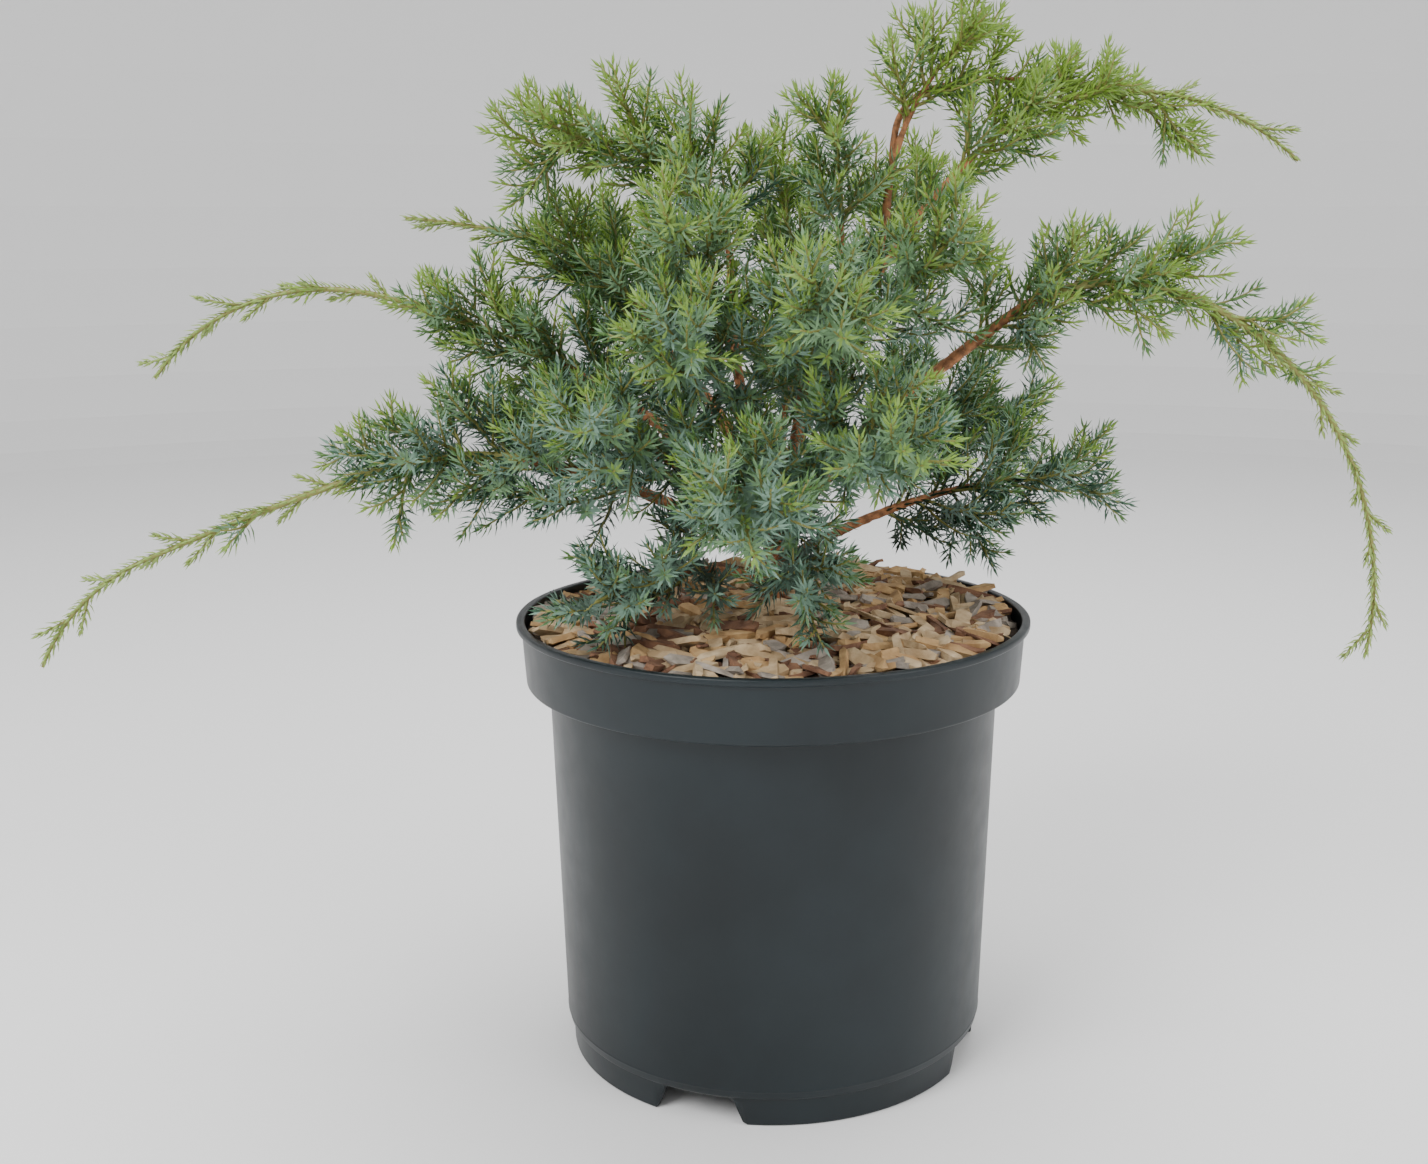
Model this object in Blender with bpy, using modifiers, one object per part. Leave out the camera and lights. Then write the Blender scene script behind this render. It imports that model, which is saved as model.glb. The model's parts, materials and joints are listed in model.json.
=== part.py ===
"""A blue alps Chinese juniper in its nursery pot.

The turned pot holds compost topped with bark chips. A short stem stands in it and carries the boughs, and each
bough carries a mass of foliage: a stem, twigs that leave it by a seeded rule, and needles in whorls of three.
Everything is in metres, +Z up. The origin is the middle of the pot's underside, and -Y faces the viewer.
"""

import math
import random
from collections import namedtuple

import bmesh
import bpy
import numpy as np

# Clearances
GAP = 0.0003
LEAF_GAP = 0.0005

# Pot: rim, band, body and foot ring
POT_STEPS = 36
RIM_RADIUS = 0.140
POT_HEIGHT = 0.245
LIP_HEIGHT = 0.0036
LIP_ROUND = 0.0009
BAND_HEIGHT = 0.0343
BAND_TOP_RADIUS = 0.1372
BAND_FOOT_RADIUS = 0.1352
SHELF_DROP = 0.003
BODY_TOP_RADIUS = 0.1228
BODY_FOOT_RADIUS = 0.1175
BODY_ROUND = 0.003
WALL = 0.0018
FOOT_HEIGHT = 0.0155
FOOT_RADIUS = 0.1148
FOOT_DRAFT = 0.0007
FOOT_WALL = 0.0030
FLOOR_WALL = 0.0025
HUB_RADIUS = 0.020

# Drain notches in the foot ring and drain holes in the floor
NOTCHES = 4
NOTCH_HEADING = -110
NOTCH_TOP_WIDTH = 0.037
NOTCH_FOOT_WIDTH = 0.050
NOTCH_DEPTH = 0.016
DRAIN_HOLES = 8
DRAIN_RADIUS = 0.005
DRAIN_RING_RADIUS = 0.088

# Compost and the bark chips on it
SOIL_EDGE = 0.2372
SOIL_CENTRE = 0.2474
SOIL_SEAT_RADIUS = 0.022
SOIL_RINGS = (0.022, 0.048, 0.074, 0.100, 0.120)
SOIL_BUMP = 0.0012
CHIPS = 22
CHIP_LENGTH = (0.016, 0.034)
CHIP_WIDTH = (0.004, 0.009)
CHIP_THICKNESS = (0.0028, 0.0045)
CHIP_TILT = 10
CHIP_REACH = 0.129
CHIP_SEED = 11
CHIP_TOP = 0.0068

# Stem
STEM_FOOT = np.array([-0.004, 0.006, SOIL_CENTRE + GAP])
STEM_TOP = np.array([0.008, 0.004, 0.318])
STEM_FLARE = ((0.0, 0.0125), (0.006, 0.0094), (0.014, 0.0078), (0.030, 0.0069))
STEM_TOP_RADIUS = 0.0056
STEM_SIDES = 12

# Limbs
PATH_STEP = 0.002
BOUGH_SIDES = 6
BOUGH_RING = 0.016
TWIG_BASE_RADIUS = 0.0013
TIP_RADIUS = 0.0008
ROOT_ZONE = 0.014
LIMB_GAP = 0.0009
GOLDEN_ANGLE = 137.5
SCENE_TWIG_SPACING = 0.011
TWIG_STRIDE = 2
TWIG_ANGLE = 55
TWIG_LIFT = 0.55
TWIG_TAPER = 0.45
SHORTEST_TWIG = 0.022
BARE_SHARE = 0.35

# Needles: distance between whorls, length, angle to the twig, and length of the whorl's seat on the twig
Needles = namedtuple("Needles", "spacing length lean seat")
CROWN_NEEDLES = Needles(0.0176, 0.020, 52, 0.0034)
SHOOT_NEEDLES = Needles(0.0100, 0.013, 50, 0.0028)
WHIP_NEEDLES = Needles(0.0200, 0.009, 34, 0.0026)

# Each arc is its length, and the rise above level and the heading that the limb has turned to at its end.
# Headings are degrees from +X towards +Y. "bough" is the bare part's length, "crown" is where the foliage
# gives way to a bare whip, and "reach" is the length of the longest twig.
Branch = namedtuple("Branch", "name parent along heading rise arcs radius bough crown reach")
BRANCHES = (
    Branch("leader", "stem", 1.0, -9, 80, [(0.061, 56, -19), (0.095, 87, -4), (0.103, 37, 19)],
           0.0046, 0.190, None, 0.050),
    Branch("right_arch", "stem", 0.76, -24, 46,
           [(0.157, 37, 0), (0.097, -20, 0), (0.093, -53, 0), (0.149, -99, 0)], 0.0040, 0.125, 0.254, 0.055),
    Branch("upper_left", "stem", 0.78, 200, 62, [(0.130, 92, 190), (0.090, 11, 178), (0.055, -26, 181)],
           0.0040, 0.134, None, 0.062),
    Branch("left_upper", "stem", 0.7, 158, 60, [(0.143, 48, 174), (0.074, 12, 184), (0.062, 4, 176)],
           0.0038, 0.100, 0.205, 0.060),
    Branch("left_arch", "stem", 0.54, 187, 52, [(0.154, 27, 178), (0.099, 14, 182), (0.138, -53, 176)],
           0.0040, 0.105, 0.215, 0.065),
    Branch("lower_left", "stem", 0.34, 205, 39,
           [(0.144, 13, 188), (0.088, -19, 183), (0.125, -23, 180), (0.087, -65, 176)],
           0.0040, 0.085, 0.220, 0.070),
    Branch("right_low", "stem", 0.32, 8, 32, [(0.106, 11, 18), (0.087, -4, 10)], 0.0036, 0.060, None, 0.062),
    Branch("front_low_left", "stem", 0.20, 237, 24, [(0.056, 11, 234), (0.089, -21, 214)],
           0.0032, 0.045, None, 0.052),
    Branch("front_low_right", "stem", 0.24, 285, 45, [(0.042, 16, 280), (0.085, -38, 273)],
           0.0032, 0.042, None, 0.048),
    Branch("front_centre", "stem", 0.50, 267, 36, [(0.063, 22, 264), (0.123, -10, 265)],
           0.0034, 0.060, None, 0.065),
    Branch("front_right", "stem", 0.68, 291, 47, [(0.072, 25, 288), (0.113, -9, 287)],
           0.0034, 0.070, None, 0.065),
    Branch("front_left", "stem", 0.44, 227, 43, [(0.069, 33, 231), (0.106, 13, 240)],
           0.0034, 0.060, None, 0.065),
    Branch("back_centre", "stem", 0.62, 90, 40, [(0.094, 34, 85), (0.100, -23, 83)], 0.0036, 0.075, None, 0.065),
    Branch("back_low", "stem", 0.26, 94, 39, [(0.073, 10, 105), (0.097, -41, 114)], 0.0032, 0.055, None, 0.055),
    Branch("back_left_low", "stem", 0.44, 140, 44, [(0.093, 24, 143), (0.114, -24, 157)],
           0.0036, 0.075, None, 0.065),
    Branch("back_right_low", "stem", 0.52, 38, 47, [(0.089, 27, 36), (0.108, -27, 34)],
           0.0036, 0.075, None, 0.065),
    Branch("front_upper", "leader", 0.012, 278, 51, [(0.098, 30, 275), (0.088, -4, 273)],
           0.0032, 0.060, None, 0.062),
    Branch("front_upper_left", "upper_left", 0.030, 238, 51, [(0.076, 29, 256), (0.096, 1, 262)],
           0.0030, 0.055, None, 0.060),
    Branch("back_high", "leader", 0.030, 89, 45, [(0.071, 53, 94), (0.109, 57, 113)], 0.0032, 0.065, None, 0.062),
    Branch("back_left_high", "left_upper", 0.030, 131, 43, [(0.098, 40, 139), (0.102, 46, 125)],
           0.0032, 0.080, None, 0.062),
    Branch("top_front", "upper_left", 0.075, 250, 53, [(0.061, 37, 259), (0.070, 39, 234)],
           0.0022, 0.0, None, 0.055),
    Branch("right_front", "leader", 0.045, 313, 47, [(0.069, 35, 302), (0.070, 40, 309)],
           0.0022, 0.0, None, 0.058),
    Branch("back_right_high", "leader", 0.070, 62, 50, [(0.072, 37, 67), (0.085, 27, 48)],
           0.0022, 0.0, None, 0.058),
    Branch("top_centre", "leader", 0.085, 213, 80, [(0.071, 76, 267), (0.050, 59, 203)],
           0.0020, 0.0, None, 0.045),
    Branch("upper_right", "leader", 0.115, 2, 60, [(0.091, 41, 9), (0.074, 4, 7), (0.109, -43, -6)],
           0.0024, 0.0, 0.165, 0.045),
    Branch("top_right", "leader", 0.175, 85, 87, [(0.057, 13, 20), (0.082, -12, -10), (0.068, -46, 10)],
           0.0020, 0.0, None, 0.0),
)

# Twigs that show one by one against the sky: branch, distance along it, heading, rise and length.
Accent = namedtuple("Accent", "branch along heading rise length")
ACCENTS = (
    Accent("right_arch", 0.163, 307, -47, 0.036),
    Accent("right_arch", 0.187, 251, 80, 0.032),
    Accent("right_arch", 0.205, 21, 43, 0.038),
    Accent("right_arch", 0.212, 327, -36, 0.045),
    Accent("right_arch", 0.224, 347, 24, 0.060),
    Accent("right_arch", 0.259, 15, -38, 0.061),
    Accent("right_arch", 0.283, 346, -4, 0.042),
    Accent("right_arch", 0.318, 20, -32, 0.027),
    Accent("upper_right", 0.100, 316, 7, 0.029),
    Accent("upper_right", 0.151, 0, 33, 0.020),
    Accent("upper_right", 0.185, 21, -47, 0.041),
    Accent("top_right", 0.083, 0, 57, 0.017),
    Accent("left_upper", 0.171, 199, -13, 0.031),
    Accent("left_upper", 0.212, 211, -13, 0.020),
    Accent("left_arch", 0.173, 230, 59, 0.025),
    Accent("left_arch", 0.191, 180, 52, 0.033),
    Accent("left_arch", 0.279, 180, 4, 0.018),
    Accent("lower_left", 0.182, 143, 64, 0.038),
    Accent("lower_left", 0.204, 169, 1, 0.053),
    Accent("lower_left", 0.210, 231, -73, 0.043),
    Accent("lower_left", 0.294, 199, -45, 0.022),
    Accent("right_low", 0.111, 337, -59, 0.050),
    Accent("right_low", 0.144, 63, 68, 0.030),
    Accent("upper_left", 0.168, 227, 70, 0.040),
    Accent("upper_left", 0.207, 180, 34, 0.023),
    Accent("leader", 0.195, 86, 73, 0.035),
)


def unit(vector):
    """The vector at length one."""
    return vector / np.linalg.norm(vector)


def compass(heading, rise):
    """The direction with this heading and this rise above level, both in degrees."""
    turn, climb = math.radians(heading), math.radians(rise)
    return np.array([math.cos(climb) * math.cos(turn), math.cos(climb) * math.sin(turn), math.sin(climb)])


class Path:
    """A smooth line of closely spaced points, read by the distance along it."""

    def __init__(self, points):
        self.points = np.array(points)
        steps = np.diff(self.points, axis=0)
        self.distance = np.concatenate([[0.0], np.cumsum(np.linalg.norm(steps, axis=1))])
        self.length = self.distance[-1]
        ahead = np.vstack([steps, steps[-1]])
        behind = np.vstack([steps[0], steps])
        self.tangents = np.array([unit(a + b) for a, b in zip(ahead, behind)])
        self.sides = self.carried_sides()

    def carried_sides(self):
        """A side direction at each point, carried along the line without twisting about it."""
        first = self.tangents[0]
        away = np.array([0.0, 0.0, 1.0]) if abs(first[2]) < 0.9 else np.array([1.0, 0.0, 0.0])
        sides = [unit(np.cross(first, away))]
        for tangent in self.tangents[1:]:
            sides.append(unit(sides[-1] - tangent * (sides[-1] @ tangent)))
        return np.array(sides)

    def read(self, table, distance):
        """A value of the table at this distance, between its neighbours."""
        return np.array([np.interp(distance, self.distance, column) for column in table.T])

    def at(self, distance):
        """The point at this distance."""
        return self.read(self.points, distance)

    def frame(self, distance):
        """The line's direction at this distance and two directions across it."""
        tangent = unit(self.read(self.tangents, distance))
        side = self.read(self.sides, distance)
        side = unit(side - tangent * (side @ tangent))
        return tangent, side, np.cross(tangent, side)

    def across(self, distance, angle):
        """The direction across the line at this angle about it."""
        _, side, other = self.frame(distance)
        return side * math.cos(math.radians(angle)) + other * math.sin(math.radians(angle))


def arc_path(start, heading, rise, arcs):
    """A limb's line: through each arc its rise and heading turn evenly from those before it to its own."""
    points = [np.array(start)]
    for length, next_rise, next_heading in arcs:
        count = max(2, round(length / PATH_STEP))
        for step in range(count):
            share = (step + 0.5) / count
            way = compass(heading + (next_heading - heading) * share, rise + (next_rise - rise) * share)
            points.append(points[-1] + way * (length / count))
        heading, rise = next_heading, next_rise
    return Path(points)


def lifted_path(start, direction, length, lift):
    """A twig's line: it leaves in one direction and bends evenly towards the sky."""
    count = max(3, round(length / PATH_STEP))
    points = [np.array(start)]
    for step in range(count):
        share = (step + 0.5) / count
        way = unit(direction + np.array([0.0, 0.0, lift * share]))
        points.append(points[-1] + way * (length / count))
    return Path(points)


def flat_ended_gaps(points, rods):
    """How far each point is outside each rod, whose ends are cut flat. A rod is its two ends and two radii."""
    start, end, first, last = rods[:, 0:3], rods[:, 3:6], rods[:, 6], rods[:, 7]
    run = end - start
    length = np.linalg.norm(run, axis=1)
    axis = run / length[:, None]
    offset = points[:, None, :] - start[None]
    along = (offset * axis[None]).sum(axis=2)
    out = np.linalg.norm(offset - along[..., None] * axis[None], axis=2)
    share = np.clip(along / length, 0, 1)
    beyond = np.maximum(np.maximum(-along, along - length), 0)
    beside = np.maximum(out - (first + (last - first) * share), 0)
    return np.hypot(beyond, beside)


def rod_gaps(rods, others):
    """The gap from each rod to each of the others, at the nearest points of their middle lines."""
    start, run = rods[:, None, 0:3], rods[:, None, 3:6] - rods[:, None, 0:3]
    other_start, other_run = others[None, :, 0:3], others[None, :, 3:6] - others[None, :, 0:3]
    offset = start - other_start
    own, other = (run * run).sum(axis=2), (other_run * other_run).sum(axis=2)
    both = (run * other_run).sum(axis=2)
    to_own, to_other = (run * offset).sum(axis=2), (other_run * offset).sum(axis=2)
    spread = np.maximum(own * other - both * both, 1e-18)
    share = np.clip((both * to_other - to_own * other) / spread, 0, 1)
    other_share = np.clip((both * share + to_other) / other, 0, 1)
    share = np.clip((both * other_share - to_own) / own, 0, 1)
    apart = start + run * share[..., None] - other_start - other_run * other_share[..., None]
    radius = rods[:, None, 6] + (rods[:, None, 7] - rods[:, None, 6]) * share
    other_radius = others[None, :, 6] + (others[None, :, 7] - others[None, :, 6]) * other_share
    return np.linalg.norm(apart, axis=2) - radius - other_radius


class Space:
    """The rods of every limb, twig and needle placed so far, with the name of the node that each is in."""

    def __init__(self):
        self.names = []
        self.rods = np.zeros((0, 8))

    def add(self, name, rods):
        """Fills the rods' space for a node."""
        self.names += [name] * len(rods)
        self.rods = np.vstack([self.rods, rods])

    def others(self, name):
        """The rods of every other node."""
        return self.rods[[owner != name for owner in self.names]]

    def clear(self, name, rods):
        """For each rod, whether it keeps the leaf gap to every other node and stays off the pot and the chips."""
        others = self.others(name)
        free = np.ones(len(rods), bool)
        if len(others):
            free = rod_gaps(rods, others).min(axis=1) > LEAF_GAP
        return free & above_ground(rods)


def above_ground(rods):
    """For each rod, whether it stays over the chips and the rim, or outside the pot."""
    free = np.ones(len(rods), bool)
    for share in (0.0, 0.5, 1.0):
        place = rods[:, 0:3] + (rods[:, 3:6] - rods[:, 0:3]) * share
        radius = np.maximum(rods[:, 6], rods[:, 7])
        out = np.hypot(place[:, 0], place[:, 1])
        low = np.where(out < BAND_TOP_RADIUS, soil_height(place[:, 0], place[:, 1]) + CHIP_TOP, POT_HEIGHT)
        free &= (out > RIM_RADIUS + radius + LEAF_GAP) | (place[:, 2] > low + radius + LEAF_GAP)
    return free


def soil_height(x, y):
    """The compost's height: a low mound with shallow waves, level where the stem stands."""
    out = np.hypot(x, y)
    mound = SOIL_CENTRE + (SOIL_EDGE - SOIL_CENTRE) * np.clip(out / BAND_FOOT_RADIUS, 0, 1) ** 2
    waves = np.sin(x * 95 + 1.0) * np.cos(y * 80) + np.sin(x * 40 - y * 55)
    rough = np.clip((out - SOIL_SEAT_RADIUS) / SOIL_SEAT_RADIUS, 0, 1)
    seat = np.where(out < SOIL_SEAT_RADIUS * 1.01, SOIL_CENTRE, mound)
    return seat + SOIL_BUMP * waves * rough * 0.5


class Shoot:
    """A three-sided stem whose needles stand in whorls of three, each whorl turned a sixth from the last."""

    def __init__(self, path, start, end, radii, first_whorl, needles, pointed):
        self.path = path
        self.start, self.end = start, end
        self.radii = radii
        self.needles = needles
        self.pointed = pointed
        self.stations = self.place_stations(first_whorl)
        self.tips = {}

    def radius(self, distance):
        """The stem's radius, which tapers evenly."""
        return np.interp(distance, [self.start, self.end], self.radii)

    def place_stations(self, first_whorl):
        """(distance, is a whorl) for each ring: plain rings up the bare part, then a whorl at each spacing."""
        bare = max(first_whorl - self.start, 0.0)
        plain = max(1, round(bare / BOUGH_RING))
        found = [(self.start + bare * step / plain, False) for step in range(plain)]
        last = self.end - self.needles.seat * 1.5
        count = int((last - first_whorl) / self.needles.spacing) + 1
        for step in range(count):
            found.append((first_whorl + step * self.needles.spacing, True))
        return [found[0]] + [s for s in found[1:] if s[0] > self.start + self.needles.seat]

    def needle(self, index, side):
        """One needle's seat and tip."""
        distance = self.stations[index][0]
        tangent = self.path.frame(distance)[0]
        out = self.path.across(distance, 60 * index + 120 * side + 60)
        lean = math.radians(self.needles.lean)
        seat = self.path.at(distance)
        length = self.needles.length * (1.0 if distance < self.end - self.needles.spacing else 0.8)
        return seat, seat + (tangent * math.cos(lean) + out * math.sin(lean)) * length

    def stem_rods(self):
        """The stem as rods between its stations."""
        marks = [distance for distance, _ in self.stations] + [self.end]
        places = [self.path.at(mark) for mark in marks]
        widths = [self.radius(mark) for mark in marks]
        return np.array([
            np.concatenate([places[i], places[i + 1], [widths[i], widths[i + 1]]]) for i in range(len(marks) - 1)
        ])

    def grow_needles(self, space, name):
        """Keeps the needles that touch nothing of another node, and fills their space."""
        for index, (distance, whorl) in enumerate(self.stations):
            if not whorl:
                continue
            ends = [self.needle(index, side) for side in range(3)]
            rods = np.array([np.concatenate([*pair, [self.radius(distance), 0.0]]) for pair in ends])
            for side, free in enumerate(space.clear(name, rods)):
                if free:
                    self.tips[index, side] = ends[side][1]
                    space.add(name, rods[side : side + 1])

    def ring(self, distance, turn):
        """The three corners of the stem at this distance."""
        centre, radius = self.path.at(distance), self.radius(distance)
        return [centre + self.path.across(distance, turn + 120 * corner) * radius for corner in range(3)]

    def mesh(self, name):
        """The closed mesh: twisted bands between the whorls, and each whorl's sides poked out into needles."""
        body = bmesh.new()
        below = None
        for index, (distance, whorl) in enumerate(self.stations):
            turn = 60 * index
            half = self.needles.seat / 2 if whorl else 0.0
            lower = [body.verts.new(place) for place in self.ring(distance - half, turn)]
            if below is None:
                body.faces.new(lower[::-1])
            else:
                twisted_band(body, below, lower)
            below = lower
            if whorl:
                upper = [body.verts.new(place) for place in self.ring(distance + half, turn)]
                for side in range(3):
                    other = (side + 1) % 3
                    face = body.faces.new((lower[side], lower[other], upper[other], upper[side]))
                    if (index, side) in self.tips:
                        poked = bmesh.ops.poke(body, faces=[face])
                        poked["verts"][0].co = self.tips[index, side]
                below = upper
        if self.pointed:
            tip = body.verts.new(self.path.at(self.end))
            for side in range(3):
                body.faces.new((below[side], below[(side + 1) % 3], tip))
        else:
            end = [body.verts.new(place) for place in self.ring(self.end, 60 * len(self.stations))]
            twisted_band(body, below, end)
            body.faces.new(end)
        bmesh.ops.recalc_face_normals(body, faces=body.faces)
        if body.calc_volume(signed=True) < 0:
            bmesh.ops.reverse_faces(body, faces=body.faces)
        bmesh.ops.triangulate(body, faces=body.faces)
        mesh = bpy.data.meshes.new(name)
        body.to_mesh(mesh)
        body.free()
        return mesh


def twisted_band(body, lower, upper):
    """Six triangles from one ring of three corners to the next, which is turned a sixth from it."""
    for side in range(3):
        other = (side + 1) % 3
        body.faces.new((lower[side], lower[other], upper[side]))
        body.faces.new((lower[other], upper[other], upper[side]))


def limb_rods(path, marks, radii):
    """A limb as rods between the marks along it."""
    places = [path.at(mark) for mark in marks]
    return np.array([
        np.concatenate([places[i], places[i + 1], [radii[i], radii[i + 1]]]) for i in range(len(marks) - 1)
    ])


def surface_ring(path, distance, radius):
    """A limb's centre and points of its section at this distance."""
    centre = path.at(distance)
    _, side, other = path.frame(distance)
    turns = np.radians(np.arange(0, 360, 45))
    ring = centre + radius * (np.cos(turns)[:, None] * side + np.sin(turns)[:, None] * other)
    return np.vstack([centre, ring])


def first_clear(path, radius, rods):
    """The shortest distance along the path at which a flat-ended limb of this radius is clear of the rods."""
    step = GAP / 3
    for count in range(int(path.length / step)):
        distance = count * step
        centre = path.at(distance)
        ring = [centre] + [
            centre + path.across(distance, angle) * radius * share
            for angle in range(0, 360, 30)
            for share in (0.5, 1.0)
        ]
        if flat_ended_gaps(np.array(ring), rods).min() > GAP:
            return distance
    raise ValueError("the limb never leaves its parent")


class Juniper:
    """The plant: the line of every branch, and the rods, boughs and shoots that fill it."""

    def __init__(self):
        self.space = Space()
        self.paths = {}
        self.limbs = {}
        self.starts = {}
        self.masses = {}

    def grow(self):
        """The stem, then every branch, then the separate twigs, the crown's twigs and the needles."""
        self.grow_stem()
        for branch in BRANCHES:
            self.grow_branch(branch)
        for branch in BRANCHES:
            self.grow_accents(branch)
        for branch in BRANCHES:
            self.grow_twigs(branch)
        for name, shoots in self.masses.items():
            for shoot in shoots:
                shoot.grow_needles(self.space, name)

    def grow_stem(self):
        """The main stem, flared where it leaves the compost and cut level there."""
        rise = STEM_TOP[2] - STEM_FOOT[2]
        heights = [height for height, _ in STEM_FLARE] + [rise]
        radii = [radius for _, radius in STEM_FLARE] + [STEM_TOP_RADIUS]
        lean = (STEM_TOP - STEM_FOOT) / rise
        places = [STEM_FOOT + lean * height for height in heights]
        places[1][:2] = STEM_FOOT[:2]
        self.paths["stem"] = Path(places)
        self.limbs["stem"] = (places, radii)
        rods = [np.concatenate([places[i], places[i + 1], radii[i : i + 2]]) for i in range(len(places) - 1)]
        self.space.add("stem", np.array(rods))

    def radius_along(self, branch, distance):
        """The branch's radius, which tapers to its tip."""
        length = self.paths[branch.name].length
        return branch.radius + (TIP_RADIUS - branch.radius) * (distance / length) ** 0.8

    def grow_branch(self, branch):
        """The branch's line from its parent, its bare bough where it has one, and its foliage's stem."""
        parent = self.paths[branch.parent]
        share = parent.length if branch.parent == "stem" else 1.0
        path = arc_path(parent.at(branch.along * share), branch.heading, branch.rise, branch.arcs)
        start = self.clear_start(branch, path)
        if start is None:
            raise ValueError(f"{branch.name} has no room")
        self.paths[branch.name] = path
        self.starts[branch.name] = start
        if branch.bough:
            count = max(3, round((branch.bough - start) / BOUGH_RING))
            marks = [start + (branch.bough - start) * step / count for step in range(count + 1)]
            radii = [self.radius_along(branch, mark) for mark in marks]
            self.limbs[branch.name] = ([path.at(mark) for mark in marks], radii)
            self.space.add(f"bough_{branch.name}", limb_rods(path, marks, radii))
            self.starts[branch.name] = branch.bough + GAP
        self.grow_mass_stems(branch)

    def clear_start(self, branch, path):
        """Where the branch clears its parent, or None where its line comes too near another branch."""
        own = f"bough_{branch.parent}" if branch.parent != "stem" else "stem"
        mine = np.array([name == own for name in self.space.names])
        start = first_clear(path, branch.radius, self.space.rods[mine])
        self.paths[branch.name] = path
        marks = np.arange(start, path.length, PATH_STEP)
        skin = np.array([surface_ring(path, mark, self.radius_along(branch, mark)) for mark in marks])
        gaps = flat_ended_gaps(skin.reshape(-1, 3), self.space.rods).reshape(len(marks), -1, len(mine))
        if (gaps[marks > start + ROOT_ZONE][..., mine] < LIMB_GAP).any():
            return None
        if (~mine).any() and (gaps[..., ~mine] < LIMB_GAP).any():
            return None
        return start

    def add_shoot(self, name, shoot):
        """Puts a shoot in its mass and fills the space of its stem."""
        self.masses.setdefault(name, []).append(shoot)
        self.space.add(name, shoot.stem_rods())

    def grow_mass_stems(self, branch):
        """The stem of the branch's foliage and, past it, of its whip."""
        path, start = self.paths[branch.name], self.starts[branch.name]
        end = branch.crown or path.length
        bare = start + (end - start) * BARE_SHARE
        radii = (self.radius_along(branch, start), self.radius_along(branch, end))
        foliage = Shoot(path, start, end, radii, bare, CROWN_NEEDLES, not branch.crown)
        self.add_shoot(f"foliage_{branch.name}", foliage)
        if branch.crown:
            radii = (self.radius_along(branch, end + GAP), TIP_RADIUS)
            whip = Shoot(path, end + GAP, path.length, radii, end + WHIP_NEEDLES.spacing, WHIP_NEEDLES, True)
            self.add_shoot(f"whip_{branch.name}", whip)

    def grow_twig(self, branch, along, direction, length, needles, lift):
        """A twig from the branch's line, as long as it stays clear, or none."""
        path = self.paths[branch.name]
        part = "whip" if branch.crown and along > branch.crown else "foliage"
        name = f"{part}_{branch.name}"
        line = lifted_path(path.at(along), direction, length, lift)
        base = min(TWIG_BASE_RADIUS, self.radius_along(branch, along) * 0.85)
        inside = self.radius_along(branch, along) + 0.001
        marks = np.arange(inside, line.length, 0.004)
        rods = limb_rods(line, marks, [base] * len(marks))
        free = self.space.clear(name, rods)
        clear = inside + 0.004 * (len(free) if free.all() else int(np.argmin(free)))
        end = min(line.length, clear)
        if end < SHORTEST_TWIG * min(1.0, length / 0.035):
            return
        first = max(needles.spacing * 0.7, inside + needles.seat)
        self.add_shoot(name, Shoot(line, 0.0, end, (base, TIP_RADIUS), first, needles, True))

    def grow_accents(self, branch):
        """The twigs that show one by one."""
        for accent in ACCENTS:
            if accent.branch == branch.name:
                direction = compass(accent.heading, accent.rise)
                self.grow_twig(branch, accent.along, direction, accent.length, SHOOT_NEEDLES, 0.0)

    def grow_twigs(self, branch):
        """Every second of the crown's twigs: they spiral up the branch by the golden angle and shorten to its tip."""
        path = self.paths[branch.name]
        end = branch.crown or path.length
        first = branch.bough or end * BARE_SHARE
        count = int((end - first) / SCENE_TWIG_SPACING)
        for index in range(1, count, TWIG_STRIDE):
            if not branch.reach:
                break
            dice = random.Random(f"{branch.name} {index}")
            along = first + index * SCENE_TWIG_SPACING
            up = (along - first) / (end - first)
            angle = GOLDEN_ANGLE * index + dice.uniform(-15, 15)
            tilt = math.radians(TWIG_ANGLE + dice.uniform(-8, 8) - 20 * up)
            tangent = path.frame(along)[0]
            direction = tangent * math.cos(tilt) + path.across(along, angle) * math.sin(tilt)
            length = branch.reach * (1 - TWIG_TAPER * up) * dice.uniform(0.85, 1.15)
            self.grow_twig(branch, along, direction, length, CROWN_NEEDLES, TWIG_LIFT)


def finish(name, colour, roughness, metallic=0.0):
    """A material of one colour."""
    material = bpy.data.materials.new(name)
    material.use_nodes = True
    shader = material.node_tree.nodes["Principled BSDF"]
    shader.inputs["Base Color"].default_value = (*colour, 1.0)
    shader.inputs["Roughness"].default_value = roughness
    shader.inputs["Metallic"].default_value = metallic
    return material


def new_object(name, data, collection, material=None):
    """An object in a collection, with its material."""
    made = bpy.data.objects.new(name, data)
    collection.objects.link(made)
    if material:
        data.materials.append(material)
    return made


def evaluated_mesh(made):
    """The object's mesh with its modifiers applied."""
    bpy.context.view_layer.update()
    graph = bpy.context.evaluated_depsgraph_get()
    return bpy.data.meshes.new_from_object(made.evaluated_get(graph))


def apply_modifiers(made):
    """Gives the object its evaluated mesh and clears its modifiers."""
    mesh = evaluated_mesh(made)
    made.modifiers.clear()
    made.data = mesh


def turned(name, profile, collection, material):
    """A profile of (radius, height) points turned about the vertical axis."""
    mesh = bpy.data.meshes.new(name)
    edges = [(index, index + 1) for index in range(len(profile) - 1)]
    mesh.from_pydata([(radius, 0.0, height) for radius, height in profile], edges, [])
    made = new_object(name, mesh, collection, material)
    screw = made.modifiers.new("turn", "SCREW")
    screw.steps = screw.render_steps = POT_STEPS
    screw.use_merge_vertices = True
    screw.merge_threshold = 0.00005
    screw.use_smooth_shade = True
    return made


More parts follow.
